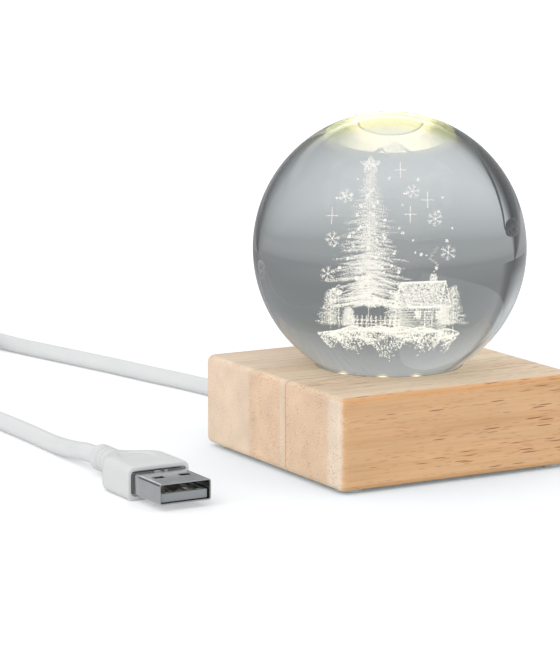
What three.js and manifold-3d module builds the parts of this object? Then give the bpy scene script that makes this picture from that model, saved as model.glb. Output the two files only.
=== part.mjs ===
// A small table lamp: a solid glass ball that rests on a ring in a square wooden base.
// Six LEDs under the ball light it from below, and a USB lead feeds them.
// Millimetres, +Z up. The origin is on the table, under the middle of the base.
// -Y is the long-grain front, -X the end-grain side, and the lead leaves the back, +Y.
import * as THREE from "three";
import { mergeVertices } from "three/addons/utils/BufferGeometryUtils.js";
import Module from "manifold-3d";

const wasm = await Module();
wasm.setup();

// Clearances that all sub-parts share
const SEAT_GAP = 0.3; // round a piece that rests in its seat
const TOUCH_GAP = 0.1; // between flat faces that are screwed or soldered together
const OVERRUN = 1; // how far a cutter runs past the face it opens

// Wooden base: square in plan, and as wide as the ball
const BASE_SIZE = 60;
const BASE_HEIGHT = 20;
const BASE_EDGE = 1.5; // rounding of the top and bottom edges
const BASE_CORNER = 2; // rounding of the upright corners
const CAVITY_MARGIN = 6.7; // how much wider the cavity is than the ball's socket, on each side
const CEILING_SHARE = 0.66; // height of the cavity's ceiling in the base

// Glass ball and the ring that it rests on
const BALL_SINK = 4.3; // how far the ball sits below the base's top
const RING_WIDTH = 2.9;
const RING_LEDGE = 0.6; // how far the wood under the ring reaches past the ring's bore
const RING_FLOOR_DEPTH = 3; // from the base's top to the floor under the ring
const SOCKET_CHAMFER = 0.5; // round the mouth of the ball's socket

// Feet
const FOOT_RADIUS = 3;
const FOOT_PROUD = 0.8;
const FOOT_RECESS = 1.2;
const FOOT_CHAMFER = 0.3;
const FOOT_INSET = 4.8; // from the base's sides to a foot's centre

// Bottom cover
const COVER_MARGIN = 7; // from the base's sides to the cover's
const COVER_CORNER = 5;
const COVER_THICKNESS = 2;
const COVER_SCREW_INSET = 4; // from the cover's sides to a screw's centre

// Screws: pan heads, driven upwards
const BOARD_SCREW = { head: 1.9, headHeight: 1.1, dome: 0.4, shank: 1, length: 5, tip: 1.2 };
const COVER_SCREW = { head: 1.9, headHeight: 1, dome: 0.3, shank: 1, length: 8, tip: 1.2 };

// LED board
const BOARD_MARGIN = 1.5; // from the cavity's wall to the board's edge
const BOARD_THICKNESS = 1.6;
const BOARD_SCREW_INSET = 2.4; // from the board's edge to a screw's centre
const BOARD_SCREWS = 3;
const LEDS = 6;
const LED_MARGIN = 1.9; // from the well's wall to the nearest side of an LED
const LED_SIZE = 5;
const LED_HEIGHT = 1.6;
const LED_LENS_RADIUS = 1.9;
const LED_LENS_DEPTH = 0.4;
const RESISTORS = 2;
const RESISTOR_LENGTH = 3.2;
const RESISTOR_WIDTH = 1.6;
const RESISTOR_HEIGHT = 0.6;
const RESISTOR_CAP = 0.5; // length of a resistor's metal end cap
const RESISTOR_STEP = 0.1; // how far a cap stands over the body
const RESISTOR_SPREAD = 7; // from the board's middle to each resistor
const RESISTOR_BACK = 6;

// Lead, where it enters the base
const CORD_DIAMETER = 4;
const CORD_INNER_REACH = 4.6; // how far the lead runs on past the cable tie
const GROMMET_RADIUS = 3;
const GROMMET_FLANGE_RADIUS = 4.6;
const GROMMET_FLANGE = 1.2;
const GROMMET_ROUND = 0.4;
const STOP_RADIUS = 3.4; // cable tie inside the cavity that keeps the lead from pulling out
const STOP_WIDTH = 2.5;
const STOP_HEAD = 3.6;
const STOP_OVERLAP = 0.5; // how far the tie's head is sunk into its band
const WIRE_DIAMETER = 1.2;
const WIRE_SPREAD = 0.9;
const WIRE_PAD_SPREAD = 3;
const WIRE_PAD_BACK = 4;
const WIRE_STRAIGHT = 2;

// USB-A plug
const PLUG_X = -63.6;
const PLUG_FRONT_Y = -23.9;
const SHELL_WIDTH = 12;
const SHELL_HEIGHT = 4.5;
const SHELL_WALL = 0.3;
const SHELL_CORNER = 0.6;
const SHELL_REACH = 11.8; // what stands out of the moulded grip
const SHELL_INSET = 4; // what the grip holds
const WINDOW_WIDTH = 2.5;
const WINDOW_LENGTH = 2;
const WINDOW_SPREAD = 3;
const WINDOW_BACK = 6.2; // from the shell's front to a window's middle
const TONGUE_HEIGHT = 1.85;
const TONGUE_RECESS = 0.6;
const CONTACTS = 4;
const CONTACT_WIDTH = 1;
const CONTACT_THICKNESS = 0.2;
const CONTACT_PITCH = 2.35;
const CONTACT_RECESS = 1.2;
const CONTACT_LENGTH = 7.4;
const BOOT_WIDTH = 14.6;
const BOOT_HEIGHT = 7.4;
const BOOT_CORNER = 1.6;
const BOOT_LIP = 0.6; // rounding round the grip's front face
const BOOT_BODY = 10.6; // length of the grip at full size
const BOOT_TAPER = 10.4; // length over which the grip narrows to the sleeve
const SLEEVE_LENGTH = 5.8;
const SLEEVE_RADIUS = 2.9;
const SLEEVE_GROOVE_DEPTH = 0.6;
const SLEEVE_GROOVE_WIDTH = 1.2;
const SLEEVE_GROOVES = 2;

// Coil of spare lead and its tie
const COIL_CENTRE_X = -52.6;
const COIL_CENTRE_Y = 175.5;
const COIL_OUTER_RADIUS = 29.4;
const COIL_START_ANGLE = 13; // degrees, seen from above, anticlockwise from +X
const COIL_TURNS = 4.464;
const COIL_GAP = 0.6; // air between neighbouring turns
const TIE_THICKNESS = 0.8;
const TIE_WIDTH = 9;
const TIE_ANGLE = 262; // degrees

// Facet counts
const BALL_SIDES = 48;
const BALL_RINGS = 32;
const ROUND_SIDES = 48;
const SMALL_SIDES = 16;
const CORNER_STEPS = 4;
const CORD_SIDES = 8;
const COIL_SIDES = 6;
const COIL_STEPS = 24; // per turn
const WIRE_SIDES = 6;
const BOOT_CORNER_STEPS = 6;
const BOOT_LIP_STEPS = 3;
const BOOT_TAPER_STEPS = 8;
const TIE_SAMPLES = 600; // points on the coil that are searched for the tie's place

// Places that follow from the sizes above
const BASE_BOTTOM = FOOT_PROUD;
const BASE_TOP = BASE_BOTTOM + BASE_HEIGHT;
const BASE_BACK = BASE_SIZE / 2;
const BALL_RADIUS = BASE_SIZE / 2;
const CEILING = BASE_BOTTOM + CEILING_SHARE * BASE_HEIGHT;
const RING_FLOOR = BASE_TOP - RING_FLOOR_DEPTH;
const BALL_CENTRE = BASE_TOP - BALL_SINK + BALL_RADIUS;
const CONTACT_RADIUS = Math.sqrt(2 * BALL_RADIUS * BALL_SINK - BALL_SINK ** 2);
const SOCKET_RADIUS = CONTACT_RADIUS + SEAT_GAP;
const CAVITY_RADIUS = SOCKET_RADIUS + CAVITY_MARGIN;
const RING_BORE_RADIUS = CONTACT_RADIUS - RING_WIDTH;
const WELL_RADIUS = RING_BORE_RADIUS - RING_LEDGE; // the hole that the LEDs shine through
const BOARD_RADIUS = CAVITY_RADIUS - BOARD_MARGIN;
const BOARD_SCREW_RADIUS = BOARD_RADIUS - BOARD_SCREW_INSET;
const LED_RING_RADIUS = WELL_RADIUS - LED_MARGIN - LED_SIZE / 2;
const COVER_SIZE = BASE_SIZE - 2 * COVER_MARGIN;
const BOARD_TOP = CEILING - SEAT_GAP;
const BOARD_BOTTOM = BOARD_TOP - BOARD_THICKNESS;
const COVER_TOP = BASE_BOTTOM + COVER_THICKNESS;
const CORD_RADIUS = CORD_DIAMETER / 2;
const CORD_EXIT_HEIGHT = (COVER_TOP + BOARD_BOTTOM) / 2; // midway between the cover and the board
const STOP_FAR = Math.sqrt(CAVITY_RADIUS ** 2 - (STOP_RADIUS + STOP_HEAD) ** 2) - SEAT_GAP;
const STOP_NEAR = STOP_FAR - STOP_WIDTH;
const CORD_INNER_END = STOP_NEAR - CORD_INNER_REACH;
const EXIT_FACE = BASE_BACK + TOUCH_GAP + GROMMET_FLANGE;
const PLUG_AXIS_HEIGHT = BOOT_HEIGHT / 2;
const BOOT_FRONT_Y = PLUG_FRONT_Y + SHELL_REACH;
const BOOT_LENGTH = BOOT_BODY + BOOT_TAPER + SLEEVE_LENGTH;
const BOOT_BACK_Y = BOOT_FRONT_Y + BOOT_LENGTH;
const COIL_PITCH = CORD_DIAMETER + COIL_GAP;
const COIL_LOW = TIE_THICKNESS + SEAT_GAP + CORD_RADIUS;
const COIL_INNER_RADIUS = COIL_OUTER_RADIUS - (COIL_PITCH * COIL_TURNS) / 2;

// The lead's route on the table, chosen by hand: out of the base, down and away to the coil
const LEAD_POINTS = [
  [0, BASE_BACK + SEAT_GAP, CORD_EXIT_HEIGHT],
  [0, 38, CORD_EXIT_HEIGHT],
  [-0.1, 46, 6.7],
  [-0.3, 56, 4.4],
  [-0.8, 68, 2.4],
  [-2.2, 82, 2],
  [-4.1, 92, 2],
  [-6.2, 101.3, 2],
  [-9.9, 119.3, 2],
  [-14.1, 137.4, 2],
  [-18.3, 156, 2],
  [-20.7, 167, 2.5],
];
// From the coil back past the side of the base to the plug
const TAIL_POINTS = [
  [-81.9, 163, 7.2],
  [-80.9, 152, 5],
  [-78.4, 139, 2.9],
  [-74.4, 124, 2.1],
  [-69.6, 108, 2],
  [-65.6, 93, 2],
  [-63.3, 79, 2],
  [-62.8, 66, 2],
  [-62.8, 52, 2],
  [-63.1, 39, 2],
  [-63.5, 29, 2.7],
  [PLUG_X, 22, PLUG_AXIS_HEIGHT - 0.2],
  [PLUG_X, BOOT_BACK_Y + SEAT_GAP, PLUG_AXIS_HEIGHT],
];

const finish = (color, roughness, metalness = 0) =>
  new THREE.MeshStandardMaterial({ color, roughness, metalness });

const MATERIALS = {
  wood: finish(0xe3c19a, 0.6),
  glass: new THREE.MeshStandardMaterial({
    color: 0xc4c9cc,
    roughness: 0.02,
    transparent: true,
    opacity: 0.4,
  }),
  silicone: finish(0xe9ebea, 0.4),
  board: finish(0xf2f2ee, 0.5),
  led: finish(0xf7e9c0, 0.35),
  ceramic: finish(0x26282b, 0.5),
  screw: finish(0xb9bbbd, 0.3, 1),
  redWire: finish(0xb3261e, 0.45),
  blackWire: finish(0x1c1c1e, 0.45),
  nylon: finish(0xdedfdc, 0.5),
  pvc: finish(0xe7e9e8, 0.45),
  cover: finish(0x2a2a2b, 0.6),
  foot: finish(0xd9dcdc, 0.5),
  nickel: finish(0xaeb1b3, 0.25, 1),
  tongue: finish(0x8d9194, 0.5),
  gold: finish(0xd8b36a, 0.25, 1),
  tie: finish(0xf0f1ef, 0.7),
};

const lamp = new THREE.Group();

// Adds one named piece to the lamp, or to a group inside it.
function addPiece(name, geometry, material, parent = lamp) {
  const mesh = new THREE.Mesh(geometry, material);
  mesh.name = name;
  parent.add(mesh);
  return mesh;
}

// The closed solid of a geometry, for cutting and joining.
function solidOf(geometry) {
  const bare = new THREE.BufferGeometry();
  bare.setAttribute("position", geometry.getAttribute("position"));
  if (geometry.index) bare.setIndex(geometry.index);
  const merged = mergeVertices(bare, 1e-4);
  const corners = merged.index.array;
  const kept = [];
  for (let i = 0; i < corners.length; i += 3) {
    const [a, b, c] = corners.slice(i, i + 3);
    if (a !== b && b !== c && c !== a) kept.push(a, b, c);
  }
  const mesh = new wasm.Mesh({
    numProp: 3,
    vertProperties: merged.attributes.position.array,
    triVerts: new Uint32Array(kept),
  });
  return new wasm.Manifold(mesh);
}

// The geometry of a solid that has been cut or joined.
function geometryOf(solid) {
  const mesh = solid.getMesh();
  const geometry = new THREE.BufferGeometry();
  geometry.setAttribute("position", new THREE.BufferAttribute(mesh.vertProperties, 3));
  geometry.setIndex(new THREE.BufferAttribute(mesh.triVerts, 1));
  geometry.computeVertexNormals();
  return geometry;
}

// A geometry with each of the cutters taken out of it.
function cut(geometry, ...cutters) {
  return geometryOf(cutters.reduce((rest, cutter) => rest.subtract(solidOf(cutter)), solidOf(geometry)));
}

// A geometry joined with others that overlap it.
function join(geometry, ...others) {
  return geometryOf(others.reduce((all, other) => all.add(solidOf(other)), solidOf(geometry)));
}

// A profile of [radius, height] pairs, anticlockwise, turned about the Z axis.
function turned(profile, sides = SMALL_SIDES) {
  const points = profile.map(([radius, height]) => new THREE.Vector2(radius, height));
  return new THREE.LatheGeometry(points, sides).rotateX(Math.PI / 2);
}

// A round bar about the Z axis, from one height to another.
function drum(radius, low, high, sides = SMALL_SIDES) {
  const bar = new THREE.CylinderGeometry(radius, radius, high - low, sides);
  return bar.rotateX(Math.PI / 2).translate(0, 0, (low + high) / 2);
}

// A round bar along Y, at the height where the lead enters the base.
function bore(radius, near, far, sides = SMALL_SIDES) {
  const bar = new THREE.CylinderGeometry(radius, radius, far - near, sides);
  return bar.translate(0, (near + far) / 2, CORD_EXIT_HEIGHT);
}

// A rectangle with round corners, centred on the origin.
function roundedRectangle(width, height, corner, Kind = THREE.Shape) {
  const x = width / 2 - corner;
  const y = height / 2 - corner;
  const outline = new Kind();
  outline.absarc(x, y, corner, 0, Math.PI / 2);
  outline.absarc(-x, y, corner, Math.PI / 2, Math.PI);
  outline.absarc(-x, -y, corner, Math.PI, 1.5 * Math.PI);
  outline.absarc(x, -y, corner, 1.5 * Math.PI, 2 * Math.PI);
  outline.closePath();
  return outline;
}

// A flat plate with round corners, standing on a height.
function plate(width, depth, corner, low, high) {
  const settings = { depth: high - low, bevelEnabled: false, curveSegments: CORNER_STEPS };
  const outline = roundedRectangle(width, depth, corner);
  return new THREE.ExtrudeGeometry(outline, settings).translate(0, 0, low);
}

// A round tube along a curve, closed at both ends.
function tube(curve, diameter, sides, steps) {
  const section = new THREE.Shape();
  for (let side = 0; side < sides; side += 1) {
    const turn = ((side + 0.5) / sides) * 2 * Math.PI;
    const x = (diameter / 2) * Math.cos(turn);
    const y = (diameter / 2) * Math.sin(turn);
    if (side === 0) section.moveTo(x, y);
    else section.lineTo(x, y);
  }
  section.closePath();
  return new THREE.ExtrudeGeometry(section, { steps, extrudePath: curve });
}

// A smooth curve through points given as [x, y, z].
function curveThrough(points) {
  return new THREE.CatmullRomCurve3(points.map((point) => new THREE.Vector3(...point)), false, "centripetal");
}

// The four [x, y] places at one distance from both axes.
function fourCorners(away) {
  return [
    [-away, -away],
    [away, -away],
    [away, away],
    [-away, away],
  ];
}

// Places spread evenly round the Z axis: [x, y, turn].
function placesRound(count, radius) {
  return Array.from({ length: count }, (_, index) => {
    const turn = ((index + 0.5) / count) * 2 * Math.PI;
    return [radius * Math.cos(turn), radius * Math.sin(turn), turn];
  });
}

const footPlaces = fourCorners(BASE_SIZE / 2 - FOOT_INSET);
const coverScrewPlaces = fourCorners(COVER_SIZE / 2 - COVER_SCREW_INSET);
const boardScrewPlaces = placesRound(BOARD_SCREWS, BOARD_SCREW_RADIUS);

// Pilot hole above a face for a screw that is driven up through it.
function pilotHole(screw, x, y, face) {
  const reach = screw.length + SEAT_GAP;
  return drum(screw.shank + SEAT_GAP, face - OVERRUN, face + reach, SMALL_SIDES).translate(x, y, 0);
}

// A block with rounded edges, hollowed from below, with the ball's socket in its top.
function woodenBase() {
  const outline = roundedRectangle(BASE_SIZE, BASE_SIZE, BASE_CORNER);
  const block = new THREE.ExtrudeGeometry(outline, {
    depth: BASE_HEIGHT - 2 * BASE_EDGE,
    curveSegments: CORNER_STEPS,
    bevelThickness: BASE_EDGE,
    bevelSize: BASE_EDGE,
    bevelOffset: -BASE_EDGE,
    bevelSegments: CORNER_STEPS,
  }).translate(0, 0, BASE_BOTTOM + BASE_EDGE);
  const recess = COVER_SIZE + 2 * SEAT_GAP;
  const socket = [
    [0, RING_FLOOR],
    [SOCKET_RADIUS, RING_FLOOR],
    [SOCKET_RADIUS, BASE_TOP - SOCKET_CHAMFER],
    [SOCKET_RADIUS + SOCKET_CHAMFER + OVERRUN, BASE_TOP + OVERRUN],
    [0, BASE_TOP + OVERRUN],
  ];
  const cutters = [
    drum(CAVITY_RADIUS, BASE_BOTTOM - OVERRUN, CEILING, ROUND_SIDES),
    drum(WELL_RADIUS, CEILING - OVERRUN, BASE_TOP, ROUND_SIDES),
    turned(socket, ROUND_SIDES),
    plate(recess, recess, COVER_CORNER + SEAT_GAP, BASE_BOTTOM - OVERRUN, COVER_TOP + SEAT_GAP),
    bore(GROMMET_RADIUS + SEAT_GAP, 0, BASE_BACK + OVERRUN),
  ];
  for (const [x, y] of footPlaces) {
    const hole = drum(FOOT_RADIUS + SEAT_GAP, BASE_BOTTOM - OVERRUN, BASE_BOTTOM + FOOT_RECESS);
    cutters.push(hole.translate(x, y, 0));
  }
  for (const [x, y] of boardScrewPlaces) {
    cutters.push(pilotHole(BOARD_SCREW, x, y, BOARD_BOTTOM));
  }
  for (const [x, y] of coverScrewPlaces) {
    cutters.push(pilotHole(COVER_SCREW, x, y, BASE_BOTTOM + COVER_SCREW.headHeight));
  }
  addPiece("wooden_base", cut(block, ...cutters), MATERIALS.wood);
}

// The solid glass ball, with its poles on the upright axis.
function crystalBall() {
  const ball = new THREE.SphereGeometry(BALL_RADIUS, BALL_SIDES, BALL_RINGS).rotateX(Math.PI / 2);
  addPiece("crystal_ball", ball, MATERIALS.glass).position.z = BALL_CENTRE;
}

// A clear ring in the socket, its top hollowed to the ball's curve.
function seatRing() {
  const outer = SOCKET_RADIUS - SEAT_GAP;
  const low = RING_FLOOR + TOUCH_GAP;
  const profile = [
    [RING_BORE_RADIUS, low],
    [outer, low],
  ];
  for (let step = 0; step <= CORNER_STEPS; step += 1) {
    const radius = outer + ((RING_BORE_RADIUS - outer) * step) / CORNER_STEPS;
    const rise = Math.sqrt((BALL_RADIUS + SEAT_GAP) ** 2 - radius ** 2);
    profile.push([radius, BALL_CENTRE - rise]);
  }
  profile.push([RING_BORE_RADIUS, low]);
  addPiece("seat_ring", turned(profile, ROUND_SIDES), MATERIALS.silicone);
}

// A screw with its head below a face and its shank going up through it.
function screwAt(name, screw, x, y, face) {
  const shoulder = screw.head - screw.dome;
  const tipStart = screw.length - screw.tip;
  const profile = [
    [0, -screw.headHeight],
    [shoulder, -screw.headHeight],
    [screw.head, screw.dome - screw.headHeight],
    [screw.head, 0],
    [screw.shank, 0],
    [screw.shank, tipStart],
    [0, screw.length],
  ];
  addPiece(name, turned(profile, SMALL_SIDES), MATERIALS.screw).position.set(x, y, face);
}

// One LED: a square case with a shallow round lens well in its top.
function ledAt(name, x, y, turn) {
  const body = new THREE.BoxGeometry(LED_SIZE, LED_SIZE, LED_HEIGHT).translate(0, 0, LED_HEIGHT / 2);
  const well = drum(LED_LENS_RADIUS, LED_HEIGHT - LED_LENS_DEPTH, LED_HEIGHT + OVERRUN);
  const led = addPiece(name, cut(body, well), MATERIALS.led);
  led.position.set(x, y, BOARD_TOP + TOUCH_GAP);
  led.rotation.z = turn;
}

// A chip resistor under the board: a flat body with slightly thicker end caps.
function resistorAt(name, x, y) {
  const end = RESISTOR_LENGTH / 2;
  const neck = end - RESISTOR_CAP;
  const low = RESISTOR_STEP - RESISTOR_HEIGHT;
  const outline = new THREE.Shape([
    new THREE.Vector2(-end, -RESISTOR_HEIGHT),
    new THREE.Vector2(-neck, -RESISTOR_HEIGHT),
    new THREE.Vector2(-neck, low),
    new THREE.Vector2(neck, low),
    new THREE.Vector2(neck, -RESISTOR_HEIGHT),
    new THREE.Vector2(end, -RESISTOR_HEIGHT),
    new THREE.Vector2(end, 0),
    new THREE.Vector2(-end, 0),
  ]);
  const body = new THREE.ExtrudeGeometry(outline, { depth: RESISTOR_WIDTH, bevelEnabled: false });
  body.rotateX(Math.PI / 2).translate(0, RESISTOR_WIDTH / 2, 0);
  addPiece(name, body, MATERIALS.ceramic).position.set(x, y, BOARD_BOTTOM - TOUCH_GAP);
}

// The round circuit board under the well, with its LEDs, resistors and screws.
function ledBoard() {
  const disc = drum(BOARD_RADIUS, BOARD_BOTTOM, BOARD_TOP, ROUND_SIDES);
  const holes = boardScrewPlaces.map(([x, y]) =>
    drum(BOARD_SCREW.shank + SEAT_GAP, BOARD_BOTTOM - OVERRUN, BOARD_TOP + OVERRUN).translate(x, y, 0),
  );
  addPiece("led_board", cut(disc, ...holes), MATERIALS.board);
  placesRound(LEDS, LED_RING_RADIUS).forEach(([x, y, turn], index) => ledAt(`led_${index + 1}`, x, y, turn));
  for (let index = 0; index < RESISTORS; index += 1) {
    const side = 2 * index - RESISTORS + 1;
    resistorAt(`resistor_${index + 1}`, side * RESISTOR_SPREAD, -RESISTOR_BACK);
  }
  boardScrewPlaces.forEach(([x, y], index) =>
    screwAt(`board_screw_${index + 1}`, BOARD_SCREW, x, y, BOARD_BOTTOM - TOUCH_GAP),
  );
}

// The plate that closes the base from below, with sunk screw heads.
function bottomCover() {
  const low = BASE_BOTTOM;
  const sheet = plate(COVER_SIZE, COVER_SIZE, COVER_CORNER, low, COVER_TOP);
  const headFace = low + COVER_SCREW.headHeight + TOUCH_GAP;
  const cutters = coverScrewPlaces.flatMap(([x, y]) => [
    drum(COVER_SCREW.head + SEAT_GAP, low - OVERRUN, headFace).translate(x, y, 0),
    drum(COVER_SCREW.shank + SEAT_GAP, low, COVER_TOP + OVERRUN).translate(x, y, 0),
  ]);
  addPiece("bottom_cover", cut(sheet, ...cutters), MATERIALS.cover);
  coverScrewPlaces.forEach(([x, y], index) =>
    screwAt(`cover_screw_${index + 1}`, COVER_SCREW, x, y, low + COVER_SCREW.headHeight),
  );
}

// Four soft feet, each in its recess near a corner of the base.
function feet() {
  const top = BASE_BOTTOM + FOOT_RECESS - SEAT_GAP;
  const profile = [
    [0, 0],
    [FOOT_RADIUS - FOOT_CHAMFER, 0],
    [FOOT_RADIUS, FOOT_CHAMFER],
    [FOOT_RADIUS, top],
    [0, top],
  ];
  footPlaces.forEach(([x, y], index) => {
    addPiece(`foot_${index + 1}`, turned(profile), MATERIALS.foot).position.set(x, y, 0);
  });
}

// The lead's way in: a flanged bush in the back wall, the lead in it and a tie that stops it.
function cordEntry() {
  const inside = Math.sqrt(CAVITY_RADIUS ** 2 - GROMMET_RADIUS ** 2) + SEAT_GAP;
  const face = BASE_BACK + TOUCH_GAP;
  const hole = CORD_RADIUS + SEAT_GAP;
  const profile = [
    [hole, inside],
    [GROMMET_RADIUS, inside],
    [GROMMET_RADIUS, face],
    [GROMMET_FLANGE_RADIUS, face],
    [GROMMET_FLANGE_RADIUS, EXIT_FACE - GROMMET_ROUND],
    [GROMMET_FLANGE_RADIUS - GROMMET_ROUND, EXIT_FACE],
    [hole, EXIT_FACE],
    [hole, inside],
  ];
  const points = profile.map(([radius, along]) => new THREE.Vector2(radius, along));
  const bush = new THREE.LatheGeometry(points, SMALL_SIDES);
  addPiece("cord_grommet", bush, MATERIALS.pvc).position.z = CORD_EXIT_HEIGHT;

  const stub = bore(CORD_RADIUS, CORD_INNER_END, BASE_BACK, SMALL_SIDES);
  addPiece("cord_inner_end", stub, MATERIALS.pvc);

  const band = bore(STOP_RADIUS, STOP_NEAR, STOP_FAR);
  const head = new THREE.BoxGeometry(STOP_HEAD, STOP_WIDTH, STOP_HEAD);
  const headX = STOP_RADIUS + STOP_HEAD / 2 - STOP_OVERLAP;
  head.translate(headX, (STOP_NEAR + STOP_FAR) / 2, CORD_EXIT_HEIGHT);
  const channel = bore(hole, STOP_NEAR - OVERRUN, STOP_FAR + OVERRUN);
  const loop = geometryOf(solidOf(join(band, head)).subtract(solidOf(channel)));
  addPiece("cable_tie_stop", loop, MATERIALS.nylon);
}

// One of the two wires from the lead's end up to the board.
function wireAt(name, side, material) {
  const start = CORD_INNER_END - SEAT_GAP;
  const padX = side * WIRE_PAD_SPREAD;
  const padY = WIRE_PAD_BACK;
  const padZ = BOARD_BOTTOM - SEAT_GAP;
  const curve = curveThrough([
    [side * WIRE_SPREAD, start, CORD_EXIT_HEIGHT],
    [side * WIRE_SPREAD, start - WIRE_STRAIGHT, CORD_EXIT_HEIGHT],
    [padX, padY, padZ - WIRE_STRAIGHT],
    [padX, padY, padZ],
  ]);
  addPiece(name, tube(curve, WIRE_DIAMETER, WIRE_SIDES, SMALL_SIDES), material);
}

// One cross-section of the moulded grip: a rectangle whose corners can round to a circle.
function gripSection(halfWidth, halfHeight, corner, y) {
  const points = [];
  for (let quarter = 0; quarter < 4; quarter += 1) {
    const signX = quarter === 0 || quarter === 3 ? 1 : -1;
    const signZ = quarter < 2 ? 1 : -1;
    for (let step = 0; step < BOOT_CORNER_STEPS; step += 1) {
      const turn = ((quarter + (step + 0.5) / BOOT_CORNER_STEPS) * Math.PI) / 2;
      const x = signX * (halfWidth - corner) + corner * Math.cos(turn);
      const z = signZ * (halfHeight - corner) + corner * Math.sin(turn);
      points.push([x, y, z]);
    }
  }
  return points;
}

// A closed skin over a row of cross-sections with equal numbers of points.
function loft(sections) {
  const count = sections[0].length;
  const last = sections.length - 1;
  const positions = sections.flat(2);
  const centres = [sections[0], sections[last]].map((section) =>
    [0, 1, 2].map((axis) => section.reduce((sum, point) => sum + point[axis], 0) / count),
  );
  positions.push(...centres.flat());
  const frontCentre = sections.length * count;
  const backCentre = frontCentre + 1;
  const faces = [];
  for (let point = 0; point < count; point += 1) {
    const next = (point + 1) % count;
    faces.push(frontCentre, point, next);
    faces.push(backCentre, last * count + next, last * count + point);
    for (let section = 0; section < last; section += 1) {
      const a = section * count + point;
      const b = section * count + next;
      faces.push(a, a + count, b, b, a + count, b + count);
    }
  }
  const geometry = new THREE.BufferGeometry();
  geometry.setAttribute("position", new THREE.Float32BufferAttribute(positions, 3));
  geometry.setIndex(faces);
  geometry.computeVertexNormals();
  return geometry;
}

// The moulded grip: a rounded block that narrows to a ribbed sleeve, with a pocket for the shell.
function plugBoot(plug) {
  const halfWidth = BOOT_WIDTH / 2;
  const halfHeight = BOOT_HEIGHT / 2;
  const sections = [];
  for (let step = 0; step <= BOOT_LIP_STEPS; step += 1) {
    const turn = ((step / BOOT_LIP_STEPS) * Math.PI) / 2;
    const inset = BOOT_LIP * (1 - Math.sin(turn));
    const y = BOOT_LIP * (1 - Math.cos(turn));
    sections.push(gripSection(halfWidth - inset, halfHeight - inset, BOOT_CORNER - inset, y));
  }
  for (let step = 0; step <= BOOT_TAPER_STEPS; step += 1) {
    const share = step / BOOT_TAPER_STEPS;
    const ease = share * share * (3 - 2 * share);
    const wide = halfWidth + (SLEEVE_RADIUS - halfWidth) * ease;
    const high = halfHeight + (SLEEVE_RADIUS - halfHeight) * ease;
    const corner = BOOT_CORNER + (SLEEVE_RADIUS - BOOT_CORNER) * ease;
    sections.push(gripSection(wide, high, corner, BOOT_BODY + BOOT_TAPER * share));
  }
  const ribPitch = SLEEVE_LENGTH / (SLEEVE_GROOVES + 1);
  const halfGroove = SLEEVE_GROOVE_WIDTH / 2;
  const sleeveStart = BOOT_BODY + BOOT_TAPER;
  for (let groove = 1; groove <= SLEEVE_GROOVES; groove += 1) {
    const middle = sleeveStart + (groove - 0.5) * ribPitch;
    const floor = SLEEVE_RADIUS - SLEEVE_GROOVE_DEPTH;
    sections.push(gripSection(SLEEVE_RADIUS, SLEEVE_RADIUS, SLEEVE_RADIUS, middle - halfGroove));
    sections.push(gripSection(floor, floor, floor, middle - halfGroove / 2));
    sections.push(gripSection(floor, floor, floor, middle + halfGroove / 2));
    sections.push(gripSection(SLEEVE_RADIUS, SLEEVE_RADIUS, SLEEVE_RADIUS, middle + halfGroove));
  }
  sections.push(gripSection(SLEEVE_RADIUS, SLEEVE_RADIUS, SLEEVE_RADIUS, BOOT_LENGTH));
  const grip = loft(sections);
  const pocket = shellBar(SHELL_WIDTH + 2 * TOUCH_GAP, SHELL_HEIGHT + 2 * TOUCH_GAP, SHELL_CORNER + TOUCH_GAP);
  pocket.translate(0, SHELL_INSET + TOUCH_GAP, 0);
  addPiece("plug_boot", cut(grip, pocket), MATERIALS.pvc, plug).position.y = SHELL_REACH;
}

// A bar of the shell's outline that runs forwards from the origin, past the shell's front.
function shellBar(width, height, corner) {
  const settings = {
    depth: SHELL_REACH + SHELL_INSET + OVERRUN,
    bevelEnabled: false,
    curveSegments: CORNER_STEPS,
  };
  return new THREE.ExtrudeGeometry(roundedRectangle(width, height, corner), settings).rotateX(Math.PI / 2);
}

// The folded steel shell: a thin rectangular sleeve with two windows above and two below.
function plugShell(plug) {
  const outline = roundedRectangle(SHELL_WIDTH, SHELL_HEIGHT, SHELL_CORNER);
  const innerWidth = SHELL_WIDTH - 2 * SHELL_WALL;
  const innerHeight = SHELL_HEIGHT - 2 * SHELL_WALL;
  outline.holes.push(roundedRectangle(innerWidth, innerHeight, SHELL_CORNER - SHELL_WALL, THREE.Path));
  const length = SHELL_REACH + SHELL_INSET;
  const settings = { depth: length, bevelEnabled: false, curveSegments: CORNER_STEPS };
  const sleeve = new THREE.ExtrudeGeometry(outline, settings).rotateX(Math.PI / 2).translate(0, length, 0);
  const windows = [-WINDOW_SPREAD, WINDOW_SPREAD].map((x) =>
    new THREE.BoxGeometry(WINDOW_WIDTH, WINDOW_LENGTH, SHELL_HEIGHT + OVERRUN).translate(x, WINDOW_BACK, 0),
  );
  addPiece("plug_shell", cut(sleeve, ...windows), MATERIALS.nickel, plug);
}

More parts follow.
